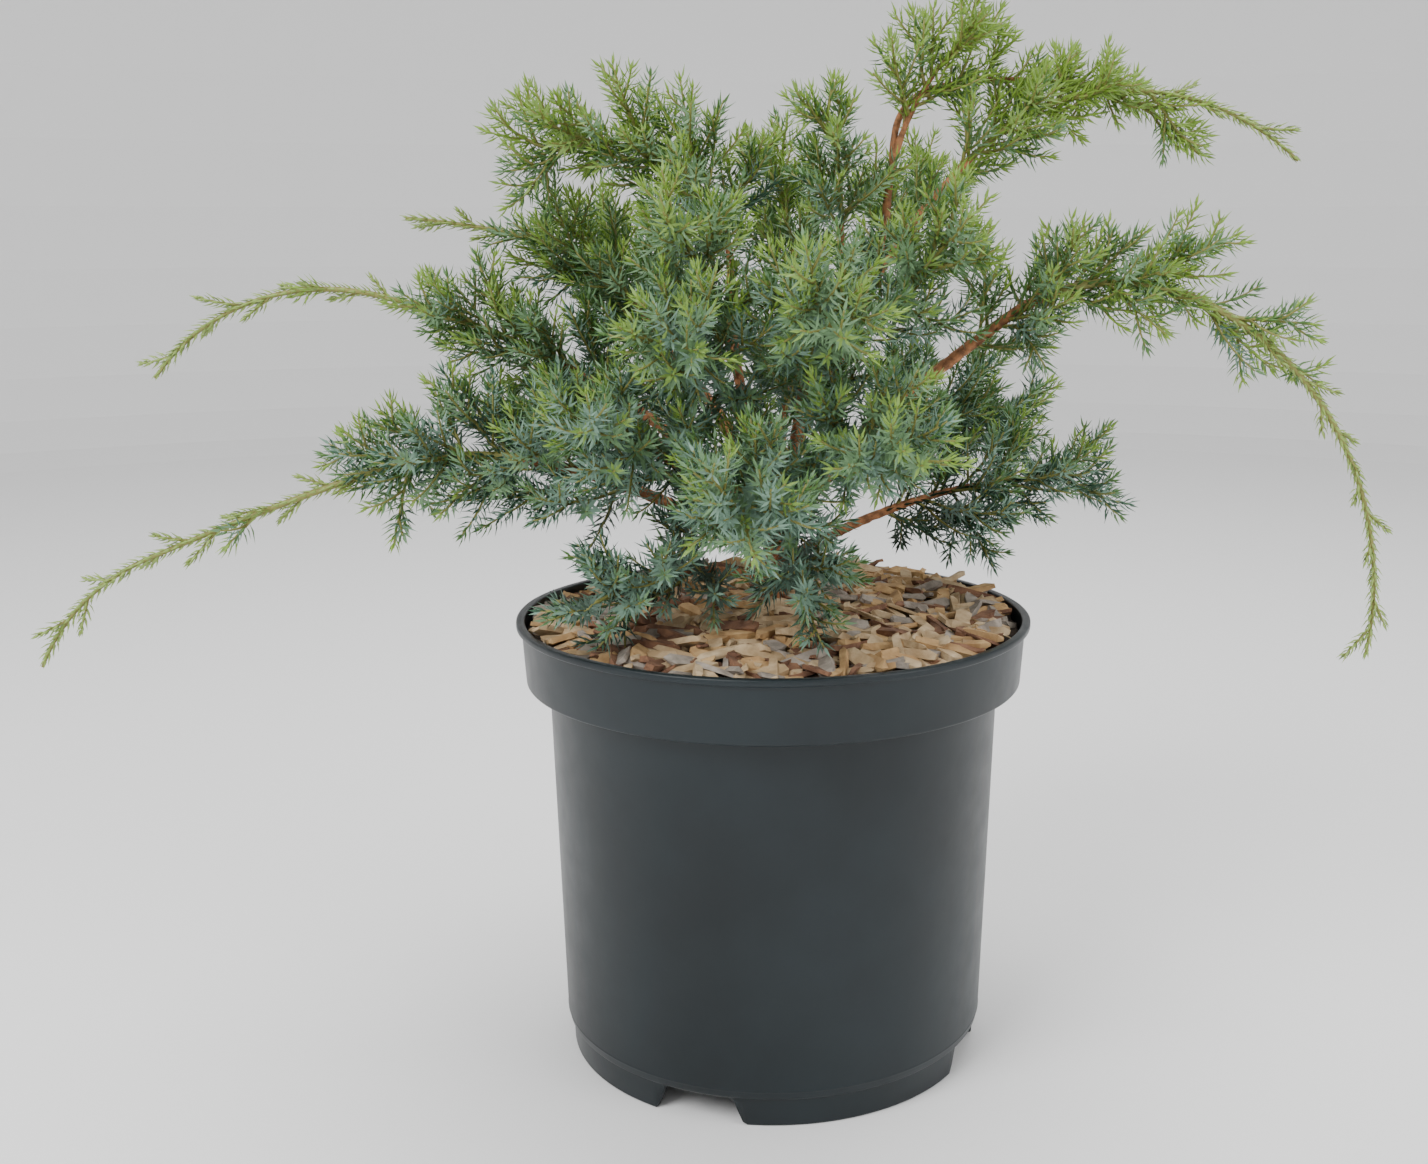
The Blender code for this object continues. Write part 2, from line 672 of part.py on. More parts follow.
def pot_inside(clearance):
    """The pot's inner side from the middle of its floor up to the lip, set in by a clearance."""
    floor = FOOT_HEIGHT + FLOOR_WALL + clearance
    shelf = POT_HEIGHT - BAND_HEIGHT + clearance
    inset = WALL + clearance
    return [
        (0.0, floor),
        (BODY_FOOT_RADIUS - BODY_ROUND - inset, floor),
        (BODY_FOOT_RADIUS - inset, floor + BODY_ROUND),
        (BODY_TOP_RADIUS - inset, shelf - SHELF_DROP + WALL),
        (BAND_FOOT_RADIUS - inset, shelf + WALL),
        (BAND_TOP_RADIUS - inset, POT_HEIGHT),
    ]


def pot_outside():
    """The pot's outer side from the lip down to the middle of the underside."""
    band_foot = POT_HEIGHT - BAND_HEIGHT
    sole = FOOT_RADIUS - FOOT_DRAFT
    return [
        (RIM_RADIUS - LIP_ROUND, POT_HEIGHT),
        (RIM_RADIUS, POT_HEIGHT - LIP_ROUND),
        (RIM_RADIUS, POT_HEIGHT - LIP_HEIGHT + LIP_ROUND),
        (BAND_TOP_RADIUS, POT_HEIGHT - LIP_HEIGHT),
        (BAND_FOOT_RADIUS, band_foot),
        (BODY_TOP_RADIUS, band_foot - SHELF_DROP),
        (BODY_FOOT_RADIUS, FOOT_HEIGHT + BODY_ROUND),
        (BODY_FOOT_RADIUS - BODY_ROUND * 0.3, FOOT_HEIGHT + BODY_ROUND * 0.3),
        (FOOT_RADIUS, FOOT_HEIGHT),
        (sole, 0.0),
        (sole - FOOT_WALL, 0.0),
        (sole - FOOT_WALL, FOOT_HEIGHT),
        (HUB_RADIUS, FOOT_HEIGHT),
        (HUB_RADIUS, 0.0),
        (0.0, 0.0),
    ]


def notch_cutter(index, collection):
    """A wedge through the foot ring, wider at the ground than under the body."""
    heading = math.radians(NOTCH_HEADING + 360 / NOTCHES * index)
    middle = FOOT_RADIUS - FOOT_WALL / 2
    bpy.ops.mesh.primitive_cube_add(size=1, location=(middle * math.cos(heading), middle * math.sin(heading), 0))
    cutter = bpy.context.object
    cutter.name = f"notch_{index}"
    cutter.rotation_euler.z = heading
    top = FOOT_HEIGHT - GAP
    spread = (NOTCH_FOOT_WIDTH - NOTCH_TOP_WIDTH) / 2
    for vert in cutter.data.vertices:
        half = NOTCH_TOP_WIDTH / 2 if vert.co.z > 0 else NOTCH_FOOT_WIDTH / 2 + spread
        vert.co = (math.copysign(NOTCH_DEPTH / 2, vert.co.x), math.copysign(half, vert.co.y),
                   math.copysign(top, vert.co.z))
    move_to(cutter, collection)
    return cutter


def drain_cutter(index, collection):
    """A round drill through the floor."""
    heading = 2 * math.pi * (index + 0.5) / DRAIN_HOLES
    bpy.ops.mesh.primitive_cylinder_add(
        vertices=8,
        radius=DRAIN_RADIUS,
        depth=FLOOR_WALL * 3,
        location=(DRAIN_RING_RADIUS * math.cos(heading), DRAIN_RING_RADIUS * math.sin(heading),
                  FOOT_HEIGHT + FLOOR_WALL / 2),
    )
    cutter = bpy.context.object
    cutter.name = f"drain_{index}"
    move_to(cutter, collection)
    return cutter


def move_to(made, collection):
    """Moves an object out of its collections and into this one."""
    for other in list(made.users_collection):
        other.objects.unlink(made)
    collection.objects.link(made)
    made.hide_render = True
    made.display_type = "WIRE"


def build_pot(parts, cutters):
    """The pot, turned in one piece and cut for drainage."""
    plastic = finish("pot_plastic", (0.018, 0.026, 0.029), 0.38)
    pot = turned("pot", pot_inside(0.0) + pot_outside(), parts, plastic)
    for index in range(NOTCHES):
        cut(pot, notch_cutter(index, cutters))
    for index in range(DRAIN_HOLES):
        cut(pot, drain_cutter(index, cutters))


def cut(made, cutter):
    """Takes the cutter's shape out of an object."""
    boolean = made.modifiers.new(cutter.name, "BOOLEAN")
    boolean.operation = "DIFFERENCE"
    boolean.object = cutter


def fuse(made, pieces, solver):
    """Joins a collection of closed pieces into the object, and removes them and any scrap or sealed hollow."""
    if pieces.objects:
        boolean = made.modifiers.new("fuse", "BOOLEAN")
        boolean.operation = "UNION"
        boolean.operand_type = "COLLECTION"
        boolean.collection = pieces
        boolean.solver = solver
        apply_modifiers(made)
        for piece in list(pieces.objects):
            bpy.data.objects.remove(piece)
        keep_largest_body(made.data)


def keep_largest_body(mesh):
    """Leaves only the body of largest volume in a mesh."""
    body = bmesh.new()
    body.from_mesh(mesh)
    left = set(body.faces)
    bodies = []
    while left:
        group, edge = set(), [left.pop()]
        while edge:
            face = edge.pop()
            group.add(face)
            near = {other for side in face.edges for other in side.link_faces} & left
            left -= near
            edge += near
        bodies.append(group)
    bodies.sort(key=lambda group: -sum(signed_volume(face) for face in group))
    extra = [face for group in bodies[1:] for face in group]
    bmesh.ops.delete(body, geom=extra, context="FACES")
    body.to_mesh(mesh)
    body.free()


def signed_volume(face):
    """The volume between a face and the origin, negative where the face looks at it."""
    corners = [vert.co for vert in face.verts]
    return sum(
        corners[0].dot(corners[i].cross(corners[i + 1])) / 6 for i in range(1, len(corners) - 1)
    )


def soil_profile():
    """The compost's section: its surface from the middle to the edge, then down the inside of the pot."""
    side = pot_inside(GAP)
    (low_radius, low), (high_radius, high) = side[-2:]
    edge = np.interp(SOIL_EDGE, [low, high], [low_radius, high_radius])
    surface = [(0.0, SOIL_CENTRE)] + [(radius, SOIL_CENTRE) for radius in SOIL_RINGS] + [(edge, SOIL_EDGE)]
    return surface + side[-2::-1]


def bark_chip(index, pieces):
    """One chip lying on the compost, a third of it sunk in."""
    dice = random.Random(CHIP_SEED * 1000 + index)
    size = [dice.uniform(*CHIP_LENGTH), dice.uniform(*CHIP_WIDTH), dice.uniform(*CHIP_THICKNESS)]
    inner = SOIL_SEAT_RADIUS + size[0] / 2
    outer = CHIP_REACH - size[0] / 2
    out = math.sqrt(dice.uniform(inner**2, outer**2))
    heading = math.radians(GOLDEN_ANGLE * index)
    x, y = out * math.cos(heading), out * math.sin(heading)
    bpy.ops.mesh.primitive_cube_add(size=1)
    chip = bpy.context.object
    chip.name = f"chip_{index}"
    chip.scale = size
    chip.location = (x, y, float(soil_height(x, y)) + size[2] * 0.17)
    tilt = [math.radians(dice.uniform(-CHIP_TILT, CHIP_TILT)) for _ in range(2)]
    chip.rotation_euler = (tilt[0], tilt[1], dice.uniform(0, math.pi))
    move_to(chip, pieces)


def build_compost(parts, pieces):
    """The compost that fills the pot, with bark chips on its mound."""
    soil = finish("bark_mulch", (0.22, 0.13, 0.07), 0.9)
    compost = turned("compost", soil_profile(), parts, soil)
    apply_modifiers(compost)
    for vert in compost.data.vertices:
        if vert.co.z > SOIL_EDGE - 1e-4:
            vert.co.z = float(soil_height(vert.co.x, vert.co.y))
    for index in range(CHIPS):
        bark_chip(index, pieces)
    fuse(compost, pieces, "MANIFOLD")


def limb_object(name, places, radii, sides, collection, material):
    """A tapering limb with flat ends, as a curve with a round section."""
    curve = bpy.data.curves.new(name, "CURVE")
    curve.dimensions = "3D"
    curve.bevel_depth = radii[0]
    curve.bevel_resolution = sides // 2 - 2
    curve.use_fill_caps = True
    spline = curve.splines.new("POLY")
    spline.points.add(len(places) - 1)
    for point, place, radius in zip(spline.points, places, radii):
        point.co = (*place, 1.0)
        point.radius = radius / radii[0]
    return new_object(name, curve, collection, material)


def build_limbs(plant, parts):
    """The stem and the boughs."""
    bark = finish("bark", (0.24, 0.13, 0.06), 0.8)
    for name, (places, radii) in plant.limbs.items():
        if name == "stem":
            limb_object("stem", places, radii, STEM_SIDES, parts, bark)
        else:
            limb_object(f"bough_{name}", places, radii, BOUGH_SIDES, parts, bark)


def build_masses(plant, parts, pieces):
    """Each mass of foliage: its stem with every twig fused on."""
    needles = finish("needles", (0.10, 0.22, 0.12), 0.55)
    young = finish("young_needles", (0.22, 0.36, 0.08), 0.55)
    for name, shoots in plant.masses.items():
        material = young if name.startswith("whip") else needles
        mass = new_object(name, shoots[0].mesh(name), parts, material)
        for index, shoot in enumerate(shoots[1:]):
            new_object(f"{name}_twig_{index}", shoot.mesh("twig"), pieces)
        fuse(mass, pieces, "MANIFOLD")


def main():
    """Clears the scene and builds the pot, the compost and the plant."""
    for old in list(bpy.data.objects):
        bpy.data.objects.remove(old)
    collections = [bpy.data.collections.new(name) for name in ("potted_juniper", "cutters", "fused_pieces")]
    for collection in collections:
        bpy.context.scene.collection.children.link(collection)
    parts, cutters, pieces = collections
    build_pot(parts, cutters)
    build_compost(parts, pieces)
    plant = Juniper()
    plant.grow()
    build_limbs(plant, parts)
    build_masses(plant, parts, pieces)
    bpy.data.collections.remove(pieces)


if __name__ == "__main__":
    main()
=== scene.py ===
"""The looks of a blue alps Chinese juniper in its nursery pot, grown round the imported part.

The pot, the compost, the bark chips, the limbs, the twigs and the needles are surfaces worked out from the
sizes below. The stage is a pale bowl of floor and wall with soft lights, seen from the photo's angle.
"""

import json
import math
import random
from collections import namedtuple

import bpy
import numpy as np
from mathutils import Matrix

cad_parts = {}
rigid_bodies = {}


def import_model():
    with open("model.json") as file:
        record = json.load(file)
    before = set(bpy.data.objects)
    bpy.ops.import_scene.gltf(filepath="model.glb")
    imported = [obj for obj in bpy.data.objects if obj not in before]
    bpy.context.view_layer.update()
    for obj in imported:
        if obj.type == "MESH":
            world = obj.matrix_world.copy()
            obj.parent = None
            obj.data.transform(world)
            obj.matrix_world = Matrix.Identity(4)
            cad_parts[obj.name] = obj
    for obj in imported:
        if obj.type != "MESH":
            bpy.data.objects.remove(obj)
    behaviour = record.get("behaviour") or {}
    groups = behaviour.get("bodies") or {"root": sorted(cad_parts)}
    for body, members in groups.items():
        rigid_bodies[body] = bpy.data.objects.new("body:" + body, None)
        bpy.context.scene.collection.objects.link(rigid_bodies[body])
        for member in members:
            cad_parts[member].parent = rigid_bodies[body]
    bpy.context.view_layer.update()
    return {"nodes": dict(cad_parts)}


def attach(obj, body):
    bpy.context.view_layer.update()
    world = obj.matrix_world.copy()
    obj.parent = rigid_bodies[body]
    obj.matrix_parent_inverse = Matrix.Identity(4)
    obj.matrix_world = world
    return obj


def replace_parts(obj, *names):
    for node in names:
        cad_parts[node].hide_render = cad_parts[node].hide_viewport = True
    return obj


bl_info = {
    "name": "Potted Juniper Looks",
    "version": (1, 0, 0),
    "blender": (4, 5, 0),
    "location": "View3D > Sidebar > Juniper",
    "description": "Grows the pot, mulch, limbs and needles of a potted juniper round its packed part",
    "category": "Object",
}

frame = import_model()

# Pot, in metres
RIM_RADIUS = 0.140
POT_HEIGHT = 0.245
LIP_HEIGHT = 0.0036
BAND_TOP_DROP = 0.0040
BAND_HEIGHT = 0.0343
BAND_TOP_RADIUS = 0.1372
BAND_FOOT_RADIUS = 0.1352
SHELF_DROP = 0.003
INNER_SHELF_DROP = 0.0012
BODY_TOP_RADIUS = 0.1228
BODY_FOOT_RADIUS = 0.1175
MOULD_LINE = ((0.0001, 0.0215), (0.0003, 0.0208), (0.0, 0.0200))
POT_FLOOR = 0.018
WALL = 0.0018
FOOT_CHAMFER = 0.0008
FOOT_HEIGHT = 0.0155
FOOT_RADIUS = 0.1148
FOOT_DRAFT = 0.0007
FOOT_WALL = 0.0030
HUB_RADIUS = 0.020
HUB_MARGIN = 0.01
NOTCHES = 4
NOTCH_HEADING = -110
NOTCH_TOP_WIDTH = 0.037
NOTCH_FOOT_WIDTH = 0.050
NOTCH_ROOF = 0.0004
EDGE_ROUND = 0.0011
ROUNDING_POINTS = 4
ROUNDING_ROOM = 0.45
POT_COLUMNS = 320
RIM_DIP = 0.0003
RIM_DIPS = 3
RIM_DIP_TURN = 0.7
RIM_DIP_ZONE = 0.01

# Compost. The roughness is the height, the wavelength and the seed of each layer of clods.
SOIL_EDGE = 0.2372
SOIL_CENTRE = 0.2474
SOIL_SEAT_RADIUS = 0.022
SOIL_BUMP = 0.0012
SOIL_SPREAD = 0.0004
SOIL_FIRST_RING = 0.002
SOIL_RINGS = 60
SOIL_COLUMNS = 220
SOIL_FOOT = POT_HEIGHT - BAND_HEIGHT + 0.004
SOIL_FOOT_INSET = 0.002
SOIL_ROUGHNESS = ((0.0016, 0.009, 5), (0.0009, 0.0042, 6))

# Bark chips. The sections are places along a chip, and each taper is a range that one of them is drawn from.
CHIP_SEED = 21
CHIP_LENGTH = (0.012, 0.034)
CHIP_WIDTH = (0.003, 0.0085)
CHIP_THICKNESS = (0.002, 0.0045)
CHIP_SECTIONS = (-0.5, -0.36, 0.34, 0.5)
CHIP_START_TAPER = (0.35, 0.8)
CHIP_MIDDLE_TAPER = (0.8, 1.0)
CHIP_END_TAPER = (0.3, 0.8)
CHIP_JITTER = 0.0007
CHIP_REACH = 0.132
CHIP_EDGE = 0.127
CHIP_INSET = 0.45
CHIP_LIFT = (0.0005, 0.0050)
CHIP_PITCH = 0.30
CHIP_ROLL = 0.6
CHIP_SHARES = (34, 27, 23, 16)
HEAP_HEIGHT = 0.0045
HEAP_HEADING = 50

# Finishes with grain: name, two colours, noise scale, two roughnesses and the bump's height.
PEAT = ("peat", (0.020, 0.012, 0.007), (0.055, 0.034, 0.020), 160, 0.85, 0.98, 0.0012)
CHIP_FINISHES = (
    ("chip_buff", (0.34, 0.23, 0.12), (0.55, 0.42, 0.26), 120, 0.75, 0.95, 0.0006),
    ("chip_golden", (0.34, 0.20, 0.085), (0.52, 0.34, 0.16), 120, 0.75, 0.95, 0.0006),
    ("chip_bark", (0.12, 0.055, 0.030), (0.24, 0.12, 0.065), 140, 0.8, 0.97, 0.0009),
    ("chip_grey", (0.20, 0.17, 0.14), (0.36, 0.31, 0.26), 140, 0.8, 0.97, 0.0007),
)
POT_SHADES = (0.9, 1.5)
POT_GRAIN = (9, 0.30, 0.46, 0.0002)
BARK_SHADES = (0.55, 1.5)
BARK_GRAIN = (260, 0.7, 0.92, 0.0007)
POT_SHINE = 0.3
FINE_GRAIN = 7
GRAIN_DETAIL = 6
GRAIN_LIMITS = (0.38, 0.66)
GRAIN_BUMP = 0.6

# Stem and limbs. The bark's ridges and its cracks each have a wavelength and a seed.
STEM_FOOT = np.array([-0.004, 0.006, SOIL_CENTRE - 0.003])
STEM_TOP = np.array([0.008, 0.004, 0.318])
STEM_FLARE = ((0.0, 0.0125), (0.006, 0.0094), (0.014, 0.0078), (0.030, 0.0069))
STEM_TOP_RADIUS = 0.0056
STEM_POINTS = 40
STEM_RINGS = 50
STEM_SIDES = 28
STEM_RELIEF = 0.09
PATH_STEP = 0.002
TIP_RADIUS = 0.0008
TAPER_POWER = 0.8
LIMB_RING = 0.0022
LIMB_SIDES = 14
LIMB_RELIEF = 0.08
RIPPLE_WAVES = 12
RIPPLE_SPREAD = 4
RIDGE_STRETCH = np.array([1, 1, 0.35])
RIDGES = (0.005, 3)
CRACKS = (0.002, 4)
CRACK_SHARE = 0.5
WOODY_SHARE = 0.5
GREEN_OVERLAP = 0.001
GREEN_RING = 0.004
GREEN_SIDES = 6
GREEN_TINT = (0.9, 0.62, 0.7)
GREEN_ROUGHNESS = 0.6
BARE_SHARE = 0.35

# Twigs and their side shoots
GOLDEN_ANGLE = 137.5
TWIG_SPACING = 0.011
TWIG_ANGLE = 55
TWIG_TURN_WAVER = 15
TWIG_ANGLE_WAVER = 8
TWIG_CLOSING = 20
TWIG_LIFT = 0.55
TWIG_TAPER = 0.45
TWIG_SPREAD = (0.85, 1.15)
TWIG_SIDES = 5
TWIG_RING = 0.006
TWIG_BASE_RADIUS = 0.0011
TWIG_TIP_RADIUS = 0.0004
TOP_REACH = 0.028
FILLER_SHARE = 0.82
FILLER_TURN = 165
FILLER_CLOSING = 6
SIDE_START = 0.008
SIDE_BARE_TIP = 0.010
SIDE_AHEAD = 0.75
SIDE_ASIDE = 0.66
SIDE_SHARE = 0.62
SIDE_EXTRA = 0.008
SIDE_SPREAD = (0.8, 1.1)
SIDE_LIFT = 0.5
SIDE_THICKNESS = 0.7

# Tufts on the whips
TUFT_SPACING = 0.016
TUFT_AHEAD = 0.85
TUFT_ASIDE = 0.5
TUFT_LENGTH = (0.012, 0.022)
TUFT_LIFT = 0.15
TUFT_RINGS = 6
TUFT_BASE_RADIUS = 0.0008

# Needles: where the first whorl stands on each kind of shoot, and the size of its needles
BRANCH_FIRST, BRANCH_SIZE = 0.01, 1.0
TWIG_FIRST, TWIG_SIZE = 0.006, 1.0
SIDE_FIRST, SIDE_SIZE = 0.004, 0.92
TUFT_FIRST, TUFT_SIZE = 0.003, 0.7
WHIP_BARE_TIP, WHIP_SIZE = 0.004, 0.72
SHORTEST_SHOOT = 0.002
NEEDLE_LEAN = 58
NEEDLE_LEAN_WAVER = 9
NEEDLE_TURN_WAVER = 14
NEEDLE_SPREAD = (0.8, 1.12)
TIP_ZONE = 0.010
TIP_CLOSING = 34
TIP_SHORTENING = 0.25
YOUNG_HUG = 0.62
NEEDLE_MIDDLE = 0.42
NEEDLE_BOW = 0.03
NEEDLE_KEEL = 0.38
BRIGHT_FROM = 0.3
BRIGHT_CHANCE = 0.7
SOIL_MARGIN, SOIL_HEADROOM = 0.002, 0.003
RIM_INSIDE, RIM_MARGIN, RIM_HEADROOM = 0.128, 0.003, 0.001
MOST_TRIANGLES = 190000
NEEDLE_TRIANGLES = 6

# Needle colours: a spray is brighter the higher and the further out it ends, up to each kind's limit of light
# The "shade" kind is painted shade: a darker colour for sprays deep in the crown.
NEEDLE_KINDS = ("shade", "blue", "mid", "fresh", "young")
# The higher and further out a spray, the brighter its kind: partly the real colour of new growth, partly
# painted light.
LIGHT_FLOOR = 0.27
LIGHT_HEIGHT, HEIGHT_SHARE = 0.24, 0.75
LIGHT_RADIUS, RADIUS_SHARE = 0.30, 0.45
LIGHT_WAVER = 0.22
LIGHT_LIMITS = {"shade": 0.16, "blue": 0.52, "mid": 0.86}
LIGHTER = {"shade": "blue", "blue": "mid", "mid": "fresh"}
WAX = np.array([0.13, 0.19, 0.155])
# The "shade" kind's smaller share of wax is painted shade too.
WAX_SHARES = {"shade": 0.5, "blue": 1.0, "mid": 0.55}
LEAST_WAX = 0.2
WAX_KEEPS = 0.75
NEEDLE_ROUGHNESS = 0.5
WAX_ROUGHNESS = 0.62

# Stage: the bowl's floor, bend and wall, the lamps by name, place, size and power, and the camera
FLOOR_HEIGHT = -0.0002
FLOOR_RING = 0.5
FLOOR_RADIUS = 2.6
FLOOR_ROUGHNESS = 0.9
BEND_RADIUS = 0.8
BEND_RINGS = 9
WALL_RADIUS = 3.4
WALL_HEIGHT = 3.0
BOWL_COLUMNS = 96
LAMPS = (
    ("key", (-1.1, -1.3, 1.7), 1.3, 46),
    ("fill", (1.5, -1.0, 1.1), 1.5, 18),
    ("top", (0.2, 0.5, 2.1), 1.6, 34),
)
LAMP_AIM = np.array([0.0, 0.0, 0.3])
SKY_STRENGTH = 0.55
CAMERA_PLACE = (0.0, -0.8794, 0.4526)
CAMERA_TILT = 77.73
CAMERA_LENS = 41.4
CAMERA_SENSOR = 36.0
CAMERA_SHIFT = -0.0415

# Each arc is its length, and the rise above level and the heading that the limb has turned to at its end.
# Headings are degrees from +X towards +Y. "bough" is the bare part's length, "crown" is where the foliage
# gives way to a bare whip, and "reach" is the length of the longest twig.
Branch = namedtuple("Branch", "name parent along heading rise arcs radius bough crown reach")
BRANCHES = (
    Branch("leader", "stem", 1.0, -9, 80, [(0.061, 56, -19), (0.095, 87, -4), (0.103, 37, 19)],
           0.0046, 0.190, None, 0.050),
    Branch("right_arch", "stem", 0.76, -24, 46,
           [(0.157, 37, 0), (0.097, -20, 0), (0.093, -53, 0), (0.149, -99, 0)], 0.0040, 0.125, 0.254, 0.055),
    Branch("upper_left", "stem", 0.78, 200, 62, [(0.130, 92, 190), (0.090, 11, 178), (0.055, -26, 181)],
           0.0040, 0.134, None, 0.062),
    Branch("left_upper", "stem", 0.7, 158, 60, [(0.143, 48, 174), (0.074, 12, 184), (0.062, 4, 176)],
           0.0038, 0.100, 0.205, 0.060),
    Branch("left_arch", "stem", 0.54, 187, 52, [(0.154, 27, 178), (0.099, 14, 182), (0.138, -53, 176)],
           0.0040, 0.105, 0.215, 0.065),
    Branch("lower_left", "stem", 0.34, 205, 39,
           [(0.144, 13, 188), (0.088, -19, 183), (0.125, -23, 180), (0.087, -65, 176)],
           0.0040, 0.085, 0.220, 0.070),
    Branch("right_low", "stem", 0.32, 8, 32, [(0.106, 11, 18), (0.087, -4, 10)], 0.0036, 0.060, None, 0.062),
    Branch("front_low_left", "stem", 0.20, 237, 24, [(0.056, 11, 234), (0.089, -21, 214)],
           0.0032, 0.045, None, 0.052),
    Branch("front_low_right", "stem", 0.24, 285, 45, [(0.042, 16, 280), (0.085, -38, 273)],
           0.0032, 0.042, None, 0.048),
    Branch("front_centre", "stem", 0.50, 267, 36, [(0.063, 22, 264), (0.123, -10, 265)],
           0.0034, 0.060, None, 0.065),
    Branch("front_right", "stem", 0.68, 291, 47, [(0.072, 25, 288), (0.113, -9, 287)],
           0.0034, 0.070, None, 0.065),
    Branch("front_left", "stem", 0.44, 227, 43, [(0.069, 33, 231), (0.106, 13, 240)],
           0.0034, 0.060, None, 0.065),
    Branch("back_centre", "stem", 0.62, 90, 40, [(0.094, 34, 85), (0.100, -23, 83)],
           0.0036, 0.075, None, 0.065),
    Branch("back_low", "stem", 0.26, 94, 39, [(0.073, 10, 105), (0.097, -41, 114)],
           0.0032, 0.055, None, 0.055),
    Branch("back_left_low", "stem", 0.44, 140, 44, [(0.093, 24, 143), (0.114, -24, 157)],
           0.0036, 0.075, None, 0.065),
    Branch("back_right_low", "stem", 0.52, 38, 47, [(0.089, 27, 36), (0.108, -27, 34)],
           0.0036, 0.075, None, 0.065),
    Branch("front_upper", "leader", 0.012, 278, 51, [(0.098, 30, 275), (0.088, -4, 273)],
           0.0032, 0.060, None, 0.062),
    Branch("front_upper_left", "upper_left", 0.030, 238, 51, [(0.076, 29, 256), (0.096, 1, 262)],
           0.0030, 0.055, None, 0.060),
    Branch("back_high", "leader", 0.030, 89, 45, [(0.071, 53, 94), (0.109, 57, 113)],
           0.0032, 0.065, None, 0.062),
    Branch("back_left_high", "left_upper", 0.030, 131, 43, [(0.098, 40, 139), (0.102, 46, 125)],
           0.0032, 0.080, None, 0.062),
    Branch("top_front", "upper_left", 0.075, 250, 53, [(0.061, 37, 259), (0.070, 39, 234)],
           0.0022, 0.0, None, 0.055),
    Branch("right_front", "leader", 0.045, 313, 47, [(0.069, 35, 302), (0.070, 40, 309)],
           0.0022, 0.0, None, 0.058),
    Branch("back_right_high", "leader", 0.070, 62, 50, [(0.072, 37, 67), (0.085, 27, 48)],
           0.0022, 0.0, None, 0.058),
    Branch("top_centre", "leader", 0.085, 213, 80, [(0.071, 76, 267), (0.050, 59, 203)],
           0.0020, 0.0, None, 0.045),
    Branch("upper_right", "leader", 0.115, 2, 60, [(0.091, 41, 9), (0.074, 4, 7), (0.109, -43, -6)],
           0.0024, 0.0, 0.165, 0.045),
    Branch("top_right", "leader", 0.175, 85, 87, [(0.057, 13, 20), (0.082, -12, -10), (0.068, -46, 10)],
           0.0020, 0.0, None, 0.0),
)

# Twigs that show one by one against the sky: branch, distance along it, heading, rise and length.
Accent = namedtuple("Accent", "branch along heading rise length")
ACCENTS = (
    Accent("right_arch", 0.163, 307, -47, 0.036),
    Accent("right_arch", 0.187, 251, 80, 0.032),
    Accent("right_arch", 0.205, 21, 43, 0.038),
    Accent("right_arch", 0.212, 327, -36, 0.045),
    Accent("right_arch", 0.224, 347, 24, 0.060),
    Accent("right_arch", 0.259, 15, -38, 0.061),
    Accent("right_arch", 0.283, 346, -4, 0.042),
    Accent("right_arch", 0.318, 20, -32, 0.027),
    Accent("upper_right", 0.100, 316, 7, 0.029),
    Accent("upper_right", 0.151, 0, 33, 0.020),
    Accent("upper_right", 0.185, 21, -47, 0.041),
    Accent("top_right", 0.083, 0, 57, 0.017),
    Accent("left_upper", 0.171, 199, -13, 0.031),
    Accent("left_upper", 0.212, 211, -13, 0.020),
    Accent("left_arch", 0.173, 230, 59, 0.025),
    Accent("left_arch", 0.191, 180, 52, 0.033),
    Accent("left_arch", 0.279, 180, 4, 0.018),
    Accent("lower_left", 0.182, 143, 64, 0.038),
    Accent("lower_left", 0.204, 169, 1, 0.053),
    Accent("lower_left", 0.210, 231, -73, 0.043),
    Accent("lower_left", 0.294, 199, -45, 0.022),
    Accent("right_low", 0.111, 337, -59, 0.050),
    Accent("right_low", 0.144, 63, 68, 0.030),
    Accent("upper_left", 0.168, 227, 70, 0.040),
    Accent("upper_left", 0.207, 180, 34, 0.023),
    Accent("leader", 0.195, 86, 73, 0.035),
)


def unit(vector):
    """The vector, or each row of vectors, at length one."""
    return vector / np.linalg.norm(vector, axis=-1, keepdims=True)


def compass(heading, rise):
    """The direction with this heading and this rise above level, both in degrees."""
    turn, climb = math.radians(heading), math.radians(rise)
    return np.array([math.cos(climb) * math.cos(turn), math.cos(climb) * math.sin(turn), math.sin(climb)])


class Path:
    """A smooth line of closely spaced points, read at one distance or at many."""

    def __init__(self, points):
        self.points = np.array(points)
        steps = np.diff(self.points, axis=0)
        self.distance = np.concatenate([[0.0], np.cumsum(np.linalg.norm(steps, axis=1))])
        self.length = self.distance[-1]
        self.tangents = unit(np.vstack([steps, steps[-1]]) + np.vstack([steps[0], steps]))
        first = self.tangents[0]
        away = np.array([0.0, 0.0, 1.0]) if abs(first[2]) < 0.9 else np.array([1.0, 0.0, 0.0])
        sides = [unit(np.cross(first, away))]
        for tangent in self.tangents[1:]:
            sides.append(unit(sides[-1] - tangent * (sides[-1] @ tangent)))
        self.sides = np.array(sides)

    def read(self, table, distance):
        """The table's values at these distances, between their neighbours."""
        return np.stack([np.interp(distance, self.distance, column) for column in table.T], axis=-1)

    def at(self, distance):
        """The point at each distance."""
        return self.read(self.points, distance)

    def frame(self, distance):
        """The line's direction at each distance and two directions across it."""
        tangent = unit(self.read(self.tangents, distance))
        side = self.read(self.sides, distance)
        side = unit(side - tangent * (side * tangent).sum(axis=-1, keepdims=True))
        return tangent, side, np.cross(tangent, side)

    def across(self, distance, angle):
        """The direction across the line at this angle about it."""
        _, side, other = self.frame(distance)
        return side * math.cos(math.radians(angle)) + other * math.sin(math.radians(angle))


